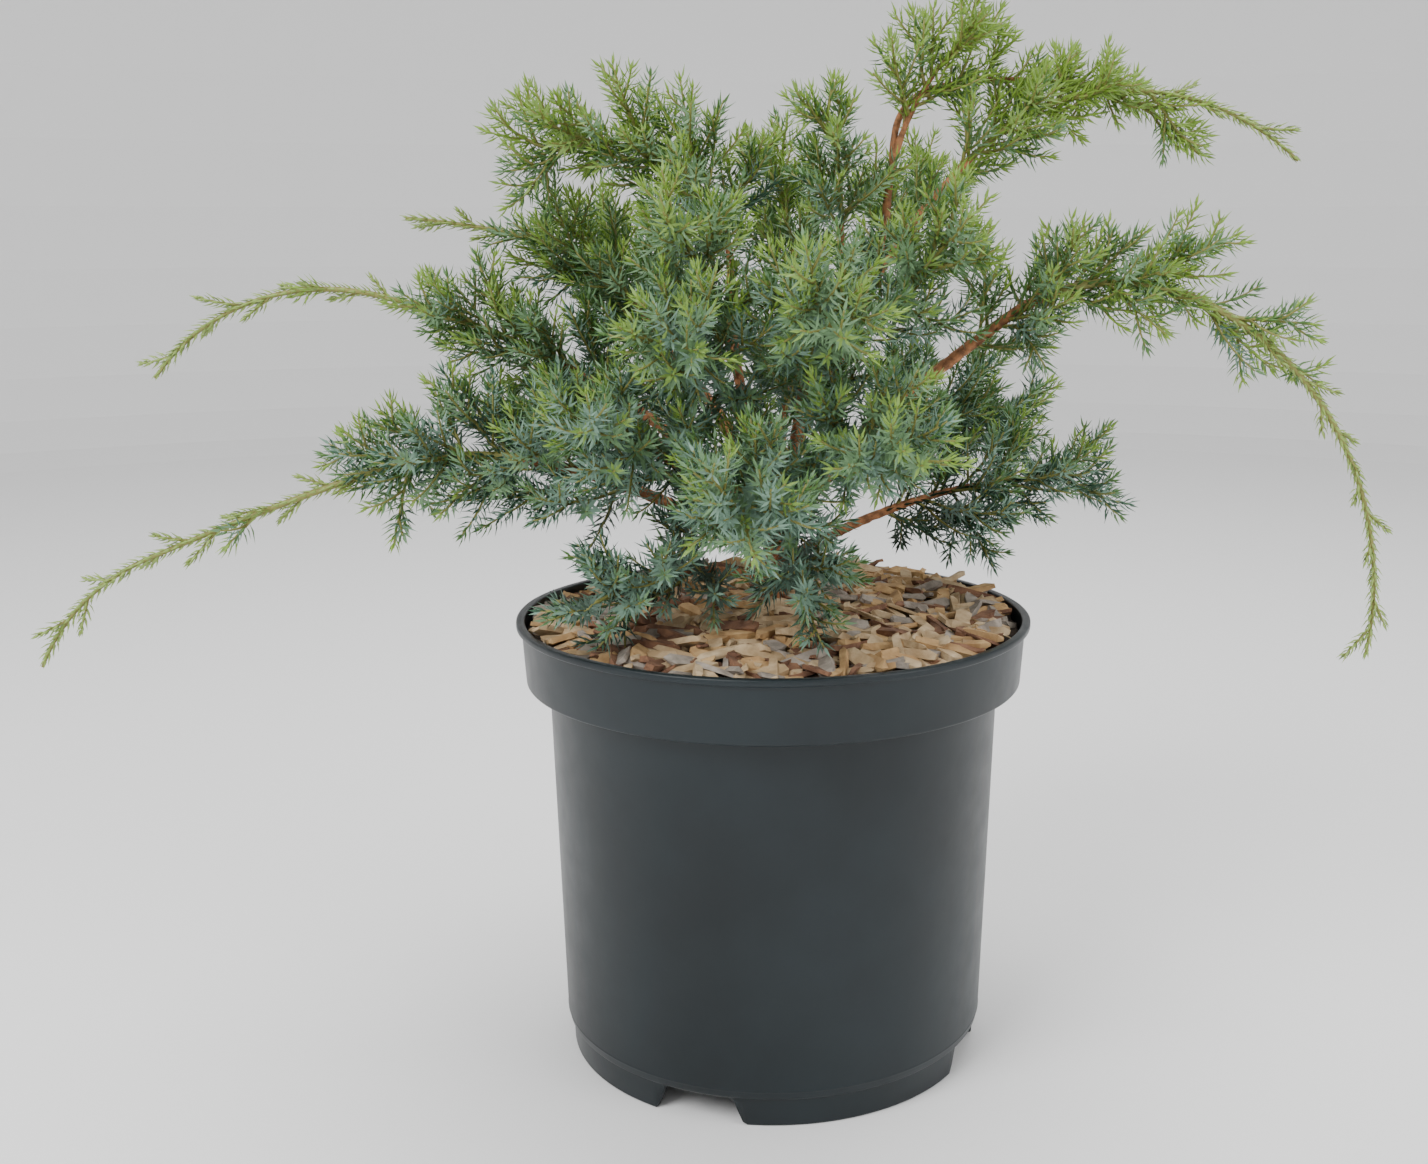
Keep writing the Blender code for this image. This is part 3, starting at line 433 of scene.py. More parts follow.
def arc_path(start, heading, rise, arcs):
    """A limb's line: through each arc its rise and heading turn evenly from those before it to its own."""
    points = [np.array(start)]
    for length, next_rise, next_heading in arcs:
        count = max(2, round(length / PATH_STEP))
        for step in range(count):
            share = (step + 0.5) / count
            way = compass(heading + (next_heading - heading) * share, rise + (next_rise - rise) * share)
            points.append(points[-1] + way * (length / count))
        heading, rise = next_heading, next_rise
    return Path(points)


def lifted_path(start, direction, length, lift):
    """A twig's line: it leaves in one direction and bends evenly towards the sky."""
    count = max(3, round(length / PATH_STEP))
    points = [np.array(start)]
    for step in range(count):
        share = (step + 0.5) / count
        way = unit(direction + np.array([0.0, 0.0, lift * share]))
        points.append(points[-1] + way * (length / count))
    return Path(points)


def soil_height(x, y):
    """The compost's height: a low mound with shallow waves that fade out round the stem."""
    out = np.hypot(x, y)
    mound = SOIL_CENTRE + (SOIL_EDGE - SOIL_CENTRE) * np.clip(out / BAND_FOOT_RADIUS, 0, 1) ** 2
    waves = np.sin(x * 95 + 1.0) * np.cos(y * 80) + np.sin(x * 40 - y * 55)
    rough = np.clip((out - SOIL_SEAT_RADIUS) / SOIL_SEAT_RADIUS, 0, 1)
    return mound + SOIL_BUMP * waves * rough * 0.5


def ripple(points, wave, seed):
    """Noise, mostly between -1 and 1: seeded sine waves of one wavelength in many directions, added up."""
    dice = np.random.default_rng(seed)
    ways = unit(dice.normal(size=(RIPPLE_WAVES, 3))) * (2 * math.pi / wave)
    phases = dice.uniform(0, 2 * math.pi, RIPPLE_WAVES)
    return np.sin(points @ ways.T + phases).sum(axis=-1) / RIPPLE_SPREAD


class Surface:
    """Points and triangles gathered from many shapes, with a material slot for each triangle."""

    def __init__(self):
        self.points, self.triangles, self.slots, self.count = [], [], [], 0

    def add(self, points, triangles, slots=0):
        """Adds a shape."""
        self.points.append(points)
        self.triangles.append(np.asarray(triangles) + self.count)
        self.slots.append(np.broadcast_to(slots, len(triangles)))
        self.count += len(points)

    def make(self, name, materials, row_slot, smooth=True):
        """One piece of the object, which rides on the root body."""
        mesh = bpy.data.meshes.new(name)
        mesh.from_pydata(np.vstack(self.points).tolist(), [], np.vstack(self.triangles).tolist())
        for material in materials:
            mesh.materials.append(material)
        mesh.polygons.foreach_set("material_index", np.concatenate(self.slots).astype(np.int32))
        mesh.polygons.foreach_set("use_smooth", np.full(len(mesh.polygons), smooth))
        mesh.update()
        made = bpy.data.objects.new(name, mesh)
        bpy.context.scene.collection.objects.link(made)
        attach(made, "root")
        return made


def lattice(rows, columns):
    """The corners of each cell between rings of points: its own, the one in the next ring, the one across,
    and its neighbour in the same ring."""
    row, column = np.meshgrid(np.arange(rows - 1), np.arange(columns), indexing="ij")
    after = (column + 1) % columns
    here, there = row * columns, (row + 1) * columns
    return here + column, there + column, there + after, here + after


def halves(first, second, third, fourth):
    """Two triangles for each cell, through its corners in this order."""
    pair = (first, second, third), (first, third, fourth)
    return np.concatenate([np.stack(corners, -1).reshape(-1, 3) for corners in pair])


def turned(profile, columns, height=None):
    """A closed turned surface: a ring for each (radius, height) of the profile, and a point for each end."""
    turns = np.arange(columns) * 2 * math.pi / columns
    inner = np.array(profile[1:-1])
    points = np.stack([
        inner[:, :1] * np.cos(turns), inner[:, :1] * np.sin(turns), np.repeat(inner[:, 1:], columns, axis=1)
    ], axis=-1)
    if height:
        points[..., 2] = height(points)
    sides = halves(*lattice(len(inner), columns))
    column, after = np.arange(columns), (np.arange(columns) + 1) % columns
    first, last = len(inner) * columns, len(inner) * columns + 1
    foot = (len(inner) - 1) * columns
    caps = [np.stack([np.full(columns, first), column, after], -1),
            np.stack([foot + column, np.full(columns, last), foot + after], -1)]
    ends = [[0.0, 0.0, points[0, :, 2].mean()], [0.0, 0.0, profile[-1][1]]]
    return np.vstack([points.reshape(-1, 3), ends]), np.concatenate([sides, *caps])


def tube(path, marks, radii, sides, relief=0.0):
    """A closed round limb along a path. Relief raises ridges and cracks by that share of the radius."""
    _, side, other = path.frame(marks)
    turns = np.arange(sides) * 2 * math.pi / sides
    ways = side[:, None] * np.cos(turns)[:, None] + other[:, None] * np.sin(turns)[:, None]
    centres = path.at(marks)
    points = centres[:, None] + ways * np.asarray(radii)[:, None, None]
    if relief:
        grain = ripple(points * RIDGE_STRETCH, *RIDGES) + CRACK_SHARE * ripple(points, *CRACKS)
        points = centres[:, None] + ways * (np.asarray(radii)[:, None] * (1 + relief * grain))[..., None]
    own, above, across, beside = lattice(len(marks), sides)
    walls = halves(own, beside, across, above)
    column, after = np.arange(sides), (np.arange(sides) + 1) % sides
    first, last, top = len(marks) * sides, len(marks) * sides + 1, (len(marks) - 1) * sides
    caps = [np.stack([np.full(sides, first), after, column], -1),
            np.stack([np.full(sides, last), top + column, top + after], -1)]
    return np.vstack([points.reshape(-1, 3), centres[:1], centres[-1:]]), np.concatenate([walls, *caps])


class Plant:
    """The plant's lines by the part's own rule, and from them its twigs, side shoots and needles."""

    def __init__(self, looks):
        self.looks = looks
        self.wood, self.twigs = Surface(), Surface()
        self.needles = {kind: [] for kind in NEEDLE_KINDS}
        self.paths = {}

    def grow(self):
        """The stem, the branches, then the twigs."""
        self.grow_stem()
        for branch in BRANCHES:
            self.grow_branch(branch)
        for branch in BRANCHES:
            self.grow_twigs(branch)
            for accent in ACCENTS:
                if accent.branch == branch.name:
                    way = compass(accent.heading, accent.rise)
                    self.grow_twig(branch, accent.along, way, accent.length, 0.0, random.Random(str(accent)))

    def grow_stem(self):
        """The main stem with its flared foot."""
        rise = STEM_TOP[2] - STEM_FOOT[2]
        path = Path(STEM_FOOT + (STEM_TOP - STEM_FOOT) * np.linspace(0, 1, STEM_POINTS)[:, None])
        heights = [height for height, _ in STEM_FLARE] + [rise]
        marks = np.linspace(0, path.length, STEM_RINGS)
        radii = np.interp(marks, heights, [radius for _, radius in STEM_FLARE] + [STEM_TOP_RADIUS])
        self.paths["stem"] = path
        self.wood.add(*tube(path, marks, radii, STEM_SIDES, STEM_RELIEF))

    def radius_along(self, branch, distance):
        """The branch's radius, which tapers to its tip."""
        share = np.asarray(distance) / self.paths[branch.name].length
        return branch.radius + (TIP_RADIUS - branch.radius) * share**TAPER_POWER

    def grow_branch(self, branch):
        """The branch's line with its bark, and the needles of its foliage stem and its whip."""
        parent = self.paths[branch.parent]
        share = parent.length if branch.parent == "stem" else 1.0
        path = arc_path(parent.at(branch.along * share), branch.heading, branch.rise, branch.arcs)
        self.paths[branch.name] = path
        end = branch.crown or path.length
        woody = branch.bough + (end - branch.bough) * WOODY_SHARE
        marks = np.arange(0, woody, LIMB_RING)
        self.wood.add(*tube(path, marks, self.radius_along(branch, marks), LIMB_SIDES, LIMB_RELIEF))
        marks = np.arange(woody - GREEN_OVERLAP, path.length, GREEN_RING)
        self.twigs.add(*tube(path, marks, self.radius_along(branch, marks), GREEN_SIDES), 1)
        dice = random.Random(branch.name)
        first = (branch.bough or end * BARE_SHARE) + BRANCH_FIRST
        self.add_needles(path, first, end, BRANCH_SIZE, dice, None)
        if branch.crown:
            self.add_needles(path, end, path.length - WHIP_BARE_TIP, WHIP_SIZE, dice, "young")
            self.tuft_whip(path, end, dice)

    def tuft_whip(self, path, start, dice):
        """Small side tufts that hug a bare whip."""
        for step in range(1, int((path.length - start) / TUFT_SPACING)):
            along = start + step * TUFT_SPACING
            tangent = path.frame(along)[0]
            way = unit(tangent * TUFT_AHEAD + path.across(along, GOLDEN_ANGLE * step) * TUFT_ASIDE)
            line = lifted_path(path.at(along), way, dice.uniform(*TUFT_LENGTH), TUFT_LIFT)
            marks = np.linspace(0, line.length, TUFT_RINGS)
            radii = np.linspace(TUFT_BASE_RADIUS, TWIG_TIP_RADIUS, TUFT_RINGS)
            self.twigs.add(*tube(line, marks, radii, TWIG_SIDES), 1)
            self.add_needles(line, TUFT_FIRST, line.length, TUFT_SIZE, dice, "young")

    def grow_twigs(self, branch):
        """Twigs that spiral up the crown by the golden angle and shorten to its tip, and a shorter one half a
        spacing on from each, on nearly the opposite side."""
        path = self.paths[branch.name]
        end = branch.crown or path.length
        first = branch.bough or end * BARE_SHARE
        for index in range(1, int((end - first) / TWIG_SPACING)):
            dice = random.Random(f"{branch.name} {index}")
            along = first + index * TWIG_SPACING
            up = (along - first) / (end - first)
            angle = GOLDEN_ANGLE * index + dice.uniform(-TWIG_TURN_WAVER, TWIG_TURN_WAVER)
            waver = dice.uniform(-TWIG_ANGLE_WAVER, TWIG_ANGLE_WAVER)
            tilt = math.radians(TWIG_ANGLE + waver - TWIG_CLOSING * up)
            tangent = path.frame(along)[0]
            way = tangent * math.cos(tilt) + path.across(along, angle) * math.sin(tilt)
            length = (branch.reach or TOP_REACH) * (1 - TWIG_TAPER * up) * dice.uniform(*TWIG_SPREAD)
            self.grow_twig(branch, along, way, length, TWIG_LIFT, dice)
            tilt = math.radians(TWIG_ANGLE - FILLER_CLOSING - TWIG_CLOSING * up)
            way = tangent * math.cos(tilt) + path.across(along, angle + FILLER_TURN) * math.sin(tilt)
            along += TWIG_SPACING / 2
            self.grow_twig(branch, along, way, length * FILLER_SHARE, TWIG_LIFT, dice)

    def grow_twig(self, branch, along, way, length, lift, dice):
        """A twig from the branch, its needles, and its side shoots by the golden angle."""
        line = lifted_path(self.paths[branch.name].at(along), way, length, lift)
        kind = self.kind_at(line.points[-1], dice)
        self.add_twig(line, TWIG_BASE_RADIUS)
        self.add_needles(line, TWIG_FIRST, line.length, TWIG_SIZE, dice, kind)
        turn = dice.uniform(0, 360)
        for step in range(int((length - SIDE_BARE_TIP) / self.looks.side_spacing)):
            mark = SIDE_START + step * self.looks.side_spacing
            tangent = line.frame(mark)[0]
            aside = line.across(mark, turn + GOLDEN_ANGLE * step)
            side_way = unit(tangent * SIDE_AHEAD + aside * SIDE_ASIDE)
            reach = ((length - mark) * SIDE_SHARE + SIDE_EXTRA) * dice.uniform(*SIDE_SPREAD)
            shoot = lifted_path(line.at(mark), side_way, reach, SIDE_LIFT)
            self.add_twig(shoot, TWIG_BASE_RADIUS * SIDE_THICKNESS)
            side_kind = self.kind_at(shoot.points[-1], dice)
            self.add_needles(shoot, SIDE_FIRST, shoot.length, SIDE_SIZE, dice, side_kind)

    def add_twig(self, line, radius):
        """A thin green stem."""
        marks = np.linspace(0, line.length, max(4, round(line.length / TWIG_RING)))
        radii = np.linspace(radius, TWIG_TIP_RADIUS, len(marks))
        self.twigs.add(*tube(line, marks, radii, TWIG_SIDES), 1)

    def kind_at(self, tip, dice):
        """The needles' colour, by how high and how far out the spray ends: painted shade deep in the crown,
        and higher and further out partly painted light, partly the real colour of new growth.
        """
        out = math.hypot(tip[0], tip[1])
        light = (tip[2] - LIGHT_FLOOR) / LIGHT_HEIGHT * HEIGHT_SHARE + out / LIGHT_RADIUS * RADIUS_SHARE
        light += dice.uniform(-LIGHT_WAVER, LIGHT_WAVER)
        return next((kind for kind, limit in LIGHT_LIMITS.items() if light < limit), "fresh")

    def add_needles(self, path, first, last, size, dice, kind):
        """Whorls of three needles, each whorl turned a sixth, which close up towards the shoot's tip."""
        if last - first < SHORTEST_SHOOT:
            return
        kind = kind or self.kind_at(path.at((first + last) / 2), dice)
        grain = np.random.default_rng(dice.getrandbits(32))
        marks = np.repeat(np.arange(first, last, self.looks.whorl_spacing), 3)
        index = np.arange(len(marks))
        tangent, side, other = path.frame(marks)
        waver = grain.uniform(-NEEDLE_TURN_WAVER, NEEDLE_TURN_WAVER, len(marks))
        turn = np.radians(60 * (index // 3) + 120 * (index % 3) + waver)[:, None]
        out = side * np.cos(turn) + other * np.sin(turn)
        near_tip = np.clip((marks - last + TIP_ZONE) / TIP_ZONE, 0, 1)
        hug = YOUNG_HUG if kind == "young" else 1.0
        waver = grain.uniform(-NEEDLE_LEAN_WAVER, NEEDLE_LEAN_WAVER, len(marks))
        lean = np.radians((NEEDLE_LEAN - TIP_CLOSING * near_tip + waver) * hug)[:, None]
        way = tangent * np.cos(lean) + out * np.sin(lean)
        spread = grain.uniform(*NEEDLE_SPREAD, len(marks))
        long = self.looks.needle_length * size * spread * (1 - TIP_SHORTENING * near_tip)
        up = unit(tangent - way * (tangent * way).sum(axis=1, keepdims=True))
        rows = np.hstack([path.at(marks), way, up, long[:, None]])
        tip = rows[:, 0:3] + way * long[:, None]
        radius = np.hypot(tip[:, 0], tip[:, 1])
        low = tip[:, 2] < soil_height(tip[:, 0], tip[:, 1]) + SOIL_HEADROOM
        in_soil = (radius < RIM_RADIUS + SOIL_MARGIN) & low
        by_rim = (radius > RIM_INSIDE) & (radius < RIM_RADIUS + RIM_MARGIN)
        kept = ~(in_soil | (by_rim & (tip[:, 2] < POT_HEIGHT + RIM_HEADROOM)))
        # Tip needles take the next lighter kind: partly the real paler new growth, partly painted light on
        # the tips.
        bright = (near_tip > BRIGHT_FROM) & (grain.uniform() < BRIGHT_CHANCE)
        self.needles[kind].append(rows[kept & ~bright])
        self.needles[LIGHTER.get(kind, kind)].append(rows[kept & bright])


def needle_surface(rows, width):
    """Closed three-sided spindles, one for each row of a seat, a way, an upper side and a length.

    Between seat and tip are three points: two across the way, half a width out, and a keel below. The middle
    drops and the tip rises by a small share of the length. The two upper triangles take the pale slot.
    """
    seat, way, up, long = rows[:, 0:3], rows[:, 3:6], rows[:, 6:9], rows[:, 9:10]
    across = np.cross(way, up)
    middle = seat + way * long * NEEDLE_MIDDLE - up * long * NEEDLE_BOW
    tip = seat + way * long + up * long * NEEDLE_BOW
    left, right = middle + across * width / 2, middle - across * width / 2
    keel = middle - up * width * NEEDLE_KEEL
    points = np.stack([seat, left, right, keel, tip], axis=1).reshape(-1, 3)
    pattern = np.array([[0, 1, 2], [4, 2, 1], [0, 2, 3], [4, 3, 2], [0, 3, 1], [4, 1, 3]])
    triangles = (pattern[None] + np.arange(len(rows))[:, None, None] * 5).reshape(-1, 3)
    return points, triangles, np.tile([1, 1, 0, 0, 0, 0], len(rows))


def plain(name, colour, roughness):
    """A material of one colour."""
    material = bpy.data.materials.new(name)
    material.use_nodes = True
    shader = material.node_tree.nodes["Principled BSDF"]
    shader.inputs["Base Color"].default_value = (*colour, 1.0)
    shader.inputs["Roughness"].default_value = roughness
    return material


def grain_group(name, low, high, scale, smooth, rough, bump):
    """A node group of grain: coarse noise mixes two colours, and fine noise the roughness and the bump."""
    group = bpy.data.node_groups.new(name, "ShaderNodeTree")
    for socket, kind in (("Base Color", "NodeSocketColor"), ("Roughness", "NodeSocketFloat"),
                         ("Normal", "NodeSocketVector")):
        group.interface.new_socket(socket, in_out="OUTPUT", socket_type=kind)
    nodes, links = group.nodes, group.links
    place = nodes.new("ShaderNodeTexCoord")
    coarse, fine = nodes.new("ShaderNodeTexNoise"), nodes.new("ShaderNodeTexNoise")
    for noise, share in ((coarse, 1), (fine, FINE_GRAIN)):
        noise.inputs["Scale"].default_value = scale * share
        noise.inputs["Detail"].default_value = GRAIN_DETAIL
        links.new(place.outputs["Object"], noise.inputs["Vector"])
    ramp = nodes.new("ShaderNodeValToRGB")
    for element, position, colour in zip(ramp.color_ramp.elements, GRAIN_LIMITS, (low, high)):
        element.position = position
        element.color = (*colour, 1)
    links.new(coarse.outputs["Fac"], ramp.inputs["Fac"])
    span = nodes.new("ShaderNodeMapRange")
    span.inputs["To Min"].default_value, span.inputs["To Max"].default_value = smooth, rough
    links.new(fine.outputs["Fac"], span.inputs["Value"])
    relief = nodes.new("ShaderNodeBump")
    relief.inputs["Strength"].default_value = GRAIN_BUMP
    relief.inputs["Distance"].default_value = bump
    links.new(fine.outputs["Fac"], relief.inputs["Height"])
    out = nodes.new("NodeGroupOutput")
    links.new(ramp.outputs["Color"], out.inputs["Base Color"])
    links.new(span.outputs["Result"], out.inputs["Roughness"])
    links.new(relief.outputs["Normal"], out.inputs["Normal"])
    return group


def grained(name, low, high, scale, smooth, rough, bump):
    """A material with grain, whose colours run from low to high and whose roughness from smooth to rough."""
    material = plain(name, low, rough)
    nodes, links = material.node_tree.nodes, material.node_tree.links
    grain = nodes.new("ShaderNodeGroup")
    grain.node_tree = grain_group(f"{name}_grain", low, high, scale, smooth, rough, bump)
    for socket in ("Base Color", "Roughness", "Normal"):
        links.new(grain.outputs[socket], nodes["Principled BSDF"].inputs[socket])
    return material


def rounded(profile, radius):
    """The profile with each corner between its ends rounded by short chords of a parabola."""
    points = [profile[0]]
    for before, corner, after in zip(profile, profile[1:], profile[2:]):
        before, corner, after = map(np.array, (before, corner, after))
        sides = [np.linalg.norm(corner - before), np.linalg.norm(after - corner)]
        room = min(radius, *(side * ROUNDING_ROOM for side in sides))
        start, end = corner + unit(before - corner) * room, corner + unit(after - corner) * room
        for share in np.linspace(0, 1, ROUNDING_POINTS):
            points.append(tuple((1 - share) ** 2 * start + 2 * share * (1 - share) * corner + share**2 * end))
    return points + [profile[-1]]


def pot_height(points):
    """The pot's heights: the foot ring's sole rises in each drain notch, and the rim dips a little."""
    turn = np.arctan2(points[..., 1], points[..., 0])
    out = np.hypot(points[..., 0], points[..., 1])
    height = points[..., 2].copy()
    for index in range(NOTCHES):
        heading = math.radians(NOTCH_HEADING + 360 / NOTCHES * index)
        aside = np.abs((turn - heading + math.pi) % (2 * math.pi) - math.pi) * FOOT_RADIUS
        lift = np.clip((NOTCH_FOOT_WIDTH / 2 - aside) / ((NOTCH_FOOT_WIDTH - NOTCH_TOP_WIDTH) / 2), 0, 1)
        ring = (out > HUB_RADIUS + HUB_MARGIN) & (height < FOOT_HEIGHT)
        height = np.where(ring, np.maximum(height, lift * (FOOT_HEIGHT - NOTCH_ROOF)), height)
    dip = RIM_DIP * np.sin(RIM_DIPS * turn + RIM_DIP_TURN) * (points[..., 2] > POT_HEIGHT - RIM_DIP_ZONE)
    return height - np.abs(dip)


def chip_shape(dice):
    """One bark chip: four sections with uneven corners, tapering at both ends, centred on the origin."""
    long, wide, thick = [dice.uniform(*limits) for limits in (CHIP_LENGTH, CHIP_WIDTH, CHIP_THICKNESS)]
    marks = np.array(CHIP_SECTIONS) * long
    start, middle, end = [
        dice.uniform(*limits) for limits in (CHIP_START_TAPER, CHIP_MIDDLE_TAPER, CHIP_END_TAPER)
    ]
    taper = np.array([start, 1.0, middle, end])
    corners = np.array([[-1, -1], [1, -1], [1, 1], [-1, 1]]) * 0.5
    section = corners[None] * np.array([wide, thick]) * taper[:, None, None]
    points = np.concatenate([np.repeat(marks[:, None, None], 4, axis=1), section], axis=2)
    jitter = [[[dice.uniform(-1, 1) for _ in range(3)] for _ in range(4)] for _ in range(4)]
    points += np.array(jitter) * CHIP_JITTER
    faces = [[0, 2, 1], [0, 3, 2], [12, 13, 14], [12, 14, 15]]
    for ring in range(3):
        for corner in range(4):
            a, b = ring * 4 + corner, ring * 4 + (corner + 1) % 4
            faces += [[a, b, b + 4], [a, b + 4, a + 4]]
    return points.reshape(-1, 3), np.array(faces)


def compost_height(points):
    """The compost's heights: its mound and layers of clods on top, and its flat foot as it is."""
    surface = soil_height(points[..., 0], points[..., 1])
    for height, wave, seed in SOIL_ROUGHNESS:
        surface = surface + height * ripple(points, wave, seed)
    return np.where(points[..., 2] > SOIL_FOOT + 1e-6, surface, points[..., 2])


def turn_about(heading, pitch, roll):
    """The matrix that rolls, pitches, then heads a shape, in radians."""
    ch, sh, cp, sp = math.cos(heading), math.sin(heading), math.cos(pitch), math.sin(pitch)
    cr, sr = math.cos(roll), math.sin(roll)
    return (
        np.array([[ch, -sh, 0], [sh, ch, 0], [0, 0, 1]])
        @ np.array([[cp, 0, sp], [0, 1, 0], [-sp, 0, cp]])
        @ np.array([[1, 0, 0], [0, cr, -sr], [0, sr, cr]])
    )


def nodes_named(*starts):
    """The part's nodes whose names start with one of these."""
    return [name for name in frame["nodes"] if name.startswith(starts)]


class JuniperLooks(bpy.types.PropertyGroup):
    """The sizes and colours that shape the pieces."""

    needle_length: bpy.props.FloatProperty(
        name="Needle length", description="Length of a full-grown needle", default=0.0108, unit="LENGTH")
    needle_width: bpy.props.FloatProperty(
        name="Needle width", description="Width of a needle across its middle", default=0.0016, unit="LENGTH")
    whorl_spacing: bpy.props.FloatProperty(
        name="Whorl spacing", description="Distance between whorls of three", default=0.0026, unit="LENGTH")
    side_spacing: bpy.props.FloatProperty(
        name="Side shoot spacing", description="Distance between shoots on a twig", default=0.0070,
        unit="LENGTH")
    chips: bpy.props.IntProperty(name="Bark chips", description="Number of chips on the compost", default=760)
    pot_colour: bpy.props.FloatVectorProperty(
        name="Pot", description="The pot's plastic", default=(0.0075, 0.0115, 0.0135), subtype="COLOR")
    bark_colour: bpy.props.FloatVectorProperty(
        name="Bark", description="The limbs' bark", default=(0.27, 0.115, 0.045), subtype="COLOR")
    # Painted shade: the colour of needles deep in the crown.
    shade: bpy.props.FloatVectorProperty(
        name="Shaded needles", description="Needles deep in the crown", default=(0.014, 0.040, 0.022),
        subtype="COLOR")
    blue: bpy.props.FloatVectorProperty(
        name="Blue needles", description="Waxy blue needles", default=(0.045, 0.115, 0.066), subtype="COLOR")
    mid: bpy.props.FloatVectorProperty(
        name="Green needles", description="Needles half way out", default=(0.085, 0.185, 0.045),
        subtype="COLOR")
    fresh: bpy.props.FloatVectorProperty(
        name="Fresh needles", description="Needles at the tips", default=(0.22, 0.36, 0.045), subtype="COLOR")
    young: bpy.props.FloatVectorProperty(
        name="Whip needles", description="Needles on the whips", default=(0.24, 0.34, 0.075), subtype="COLOR")
    floor_colour: bpy.props.FloatVectorProperty(
        name="Floor", description="The stage's floor and wall", default=(0.86, 0.86, 0.86), subtype="COLOR")


class JUNIPER_OT_pot(bpy.types.Operator):
    """Turn the pot with its rolled lip, band, foot ring and drain notches"""

    bl_idname = "juniper.pot"
    bl_label = "Pot"

    def execute(self, context):
        """Builds the pot from its rounded profile."""
        looks = context.scene.juniper_looks
        low = POT_HEIGHT - BAND_HEIGHT
        sole = FOOT_RADIUS - FOOT_DRAFT
        profile = [
            (0.0, POT_FLOOR),
            (BODY_FOOT_RADIUS - WALL, POT_FLOOR),
            (BODY_TOP_RADIUS - WALL, low - INNER_SHELF_DROP),
            (BAND_FOOT_RADIUS - WALL, low + WALL),
            (BAND_TOP_RADIUS - WALL, POT_HEIGHT),
            (RIM_RADIUS, POT_HEIGHT),
            (RIM_RADIUS, POT_HEIGHT - LIP_HEIGHT),
            (BAND_TOP_RADIUS, POT_HEIGHT - BAND_TOP_DROP),
            (BAND_FOOT_RADIUS, low),
            (BODY_TOP_RADIUS, low - SHELF_DROP),
            *[(BODY_FOOT_RADIUS + proud, height) for proud, height in MOULD_LINE],
            (BODY_FOOT_RADIUS - FOOT_CHAMFER, FOOT_HEIGHT + FOOT_CHAMFER),
            (FOOT_RADIUS, FOOT_HEIGHT),
            (sole, 0.0),
            (sole - FOOT_WALL, 0.0),
            (sole - FOOT_WALL, FOOT_HEIGHT),
            (HUB_RADIUS, FOOT_HEIGHT),
            (HUB_RADIUS, 0.0),
            (0.0, 0.0),
        ]
        surface = Surface()
        surface.add(*turned(rounded(profile, EDGE_ROUND), POT_COLUMNS, pot_height))
        colour = np.array(looks.pot_colour)
        plastic = grained("pot_plastic", *(colour * share for share in POT_SHADES), *POT_GRAIN)
        plastic.node_tree.nodes["Principled BSDF"].inputs["Specular IOR Level"].default_value = POT_SHINE
        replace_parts(surface.make("pot_shell", [plastic], "pot_plastic"), "pot")
        return {"FINISHED"}


class JUNIPER_OT_compost(bpy.types.Operator):
    """Lay the dark compost in the pot and scatter the bark chips over it"""

    bl_idname = "juniper.compost"
    bl_label = "Compost and chips"

    def execute(self, context):
        """Builds the compost's mound and the chips of four finishes."""
        edge = BAND_FOOT_RADIUS + SOIL_SPREAD - WALL
        rings = [(radius, SOIL_CENTRE) for radius in np.linspace(SOIL_FIRST_RING, edge, SOIL_RINGS)]
        profile = [(0.0, SOIL_CENTRE), *rings, (edge - SOIL_FOOT_INSET, SOIL_FOOT), (0.0, SOIL_FOOT)]
        surface = Surface()
        surface.add(*turned(profile, SOIL_COLUMNS, compost_height))
        peat = grained(*PEAT)
        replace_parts(surface.make("compost_mound", [peat], "potting_compost"), "compost")
        self.scatter(context.scene.juniper_looks.chips)
        return {"FINISHED"}

    def scatter(self, count):
        """Chips by the golden angle, heaped at the back right, each in one of four finishes."""
        dice = random.Random(CHIP_SEED)
        chips = Surface()
        for index in range(count):
            out = CHIP_REACH * math.sqrt((index + 0.5) / count)
            heading = math.radians(GOLDEN_ANGLE * index)
            points, faces = chip_shape(dice)
            reach = min(out, CHIP_EDGE - np.abs(points[:, 0]).max() * CHIP_INSET)
            x, y = reach * math.cos(heading), reach * math.sin(heading)
            towards_heap = max(0.0, math.cos(heading - math.radians(HEAP_HEADING)))
            lift = dice.uniform(*CHIP_LIFT) + HEAP_HEIGHT * towards_heap * (out / CHIP_REACH) ** 2
            way = dice.uniform(0, math.pi)
            pitch = dice.uniform(-CHIP_PITCH, CHIP_PITCH)
            matrix = turn_about(way, pitch, dice.uniform(-CHIP_ROLL, CHIP_ROLL))
            place = np.array([x, y, float(soil_height(x, y)) + lift])
            chips.add(points @ matrix.T + place, faces, dice.choices(range(4), CHIP_SHARES)[0])
        finishes = [grained(*finish) for finish in CHIP_FINISHES]
        chips.make("bark_chips", finishes, "potting_compost", smooth=False)


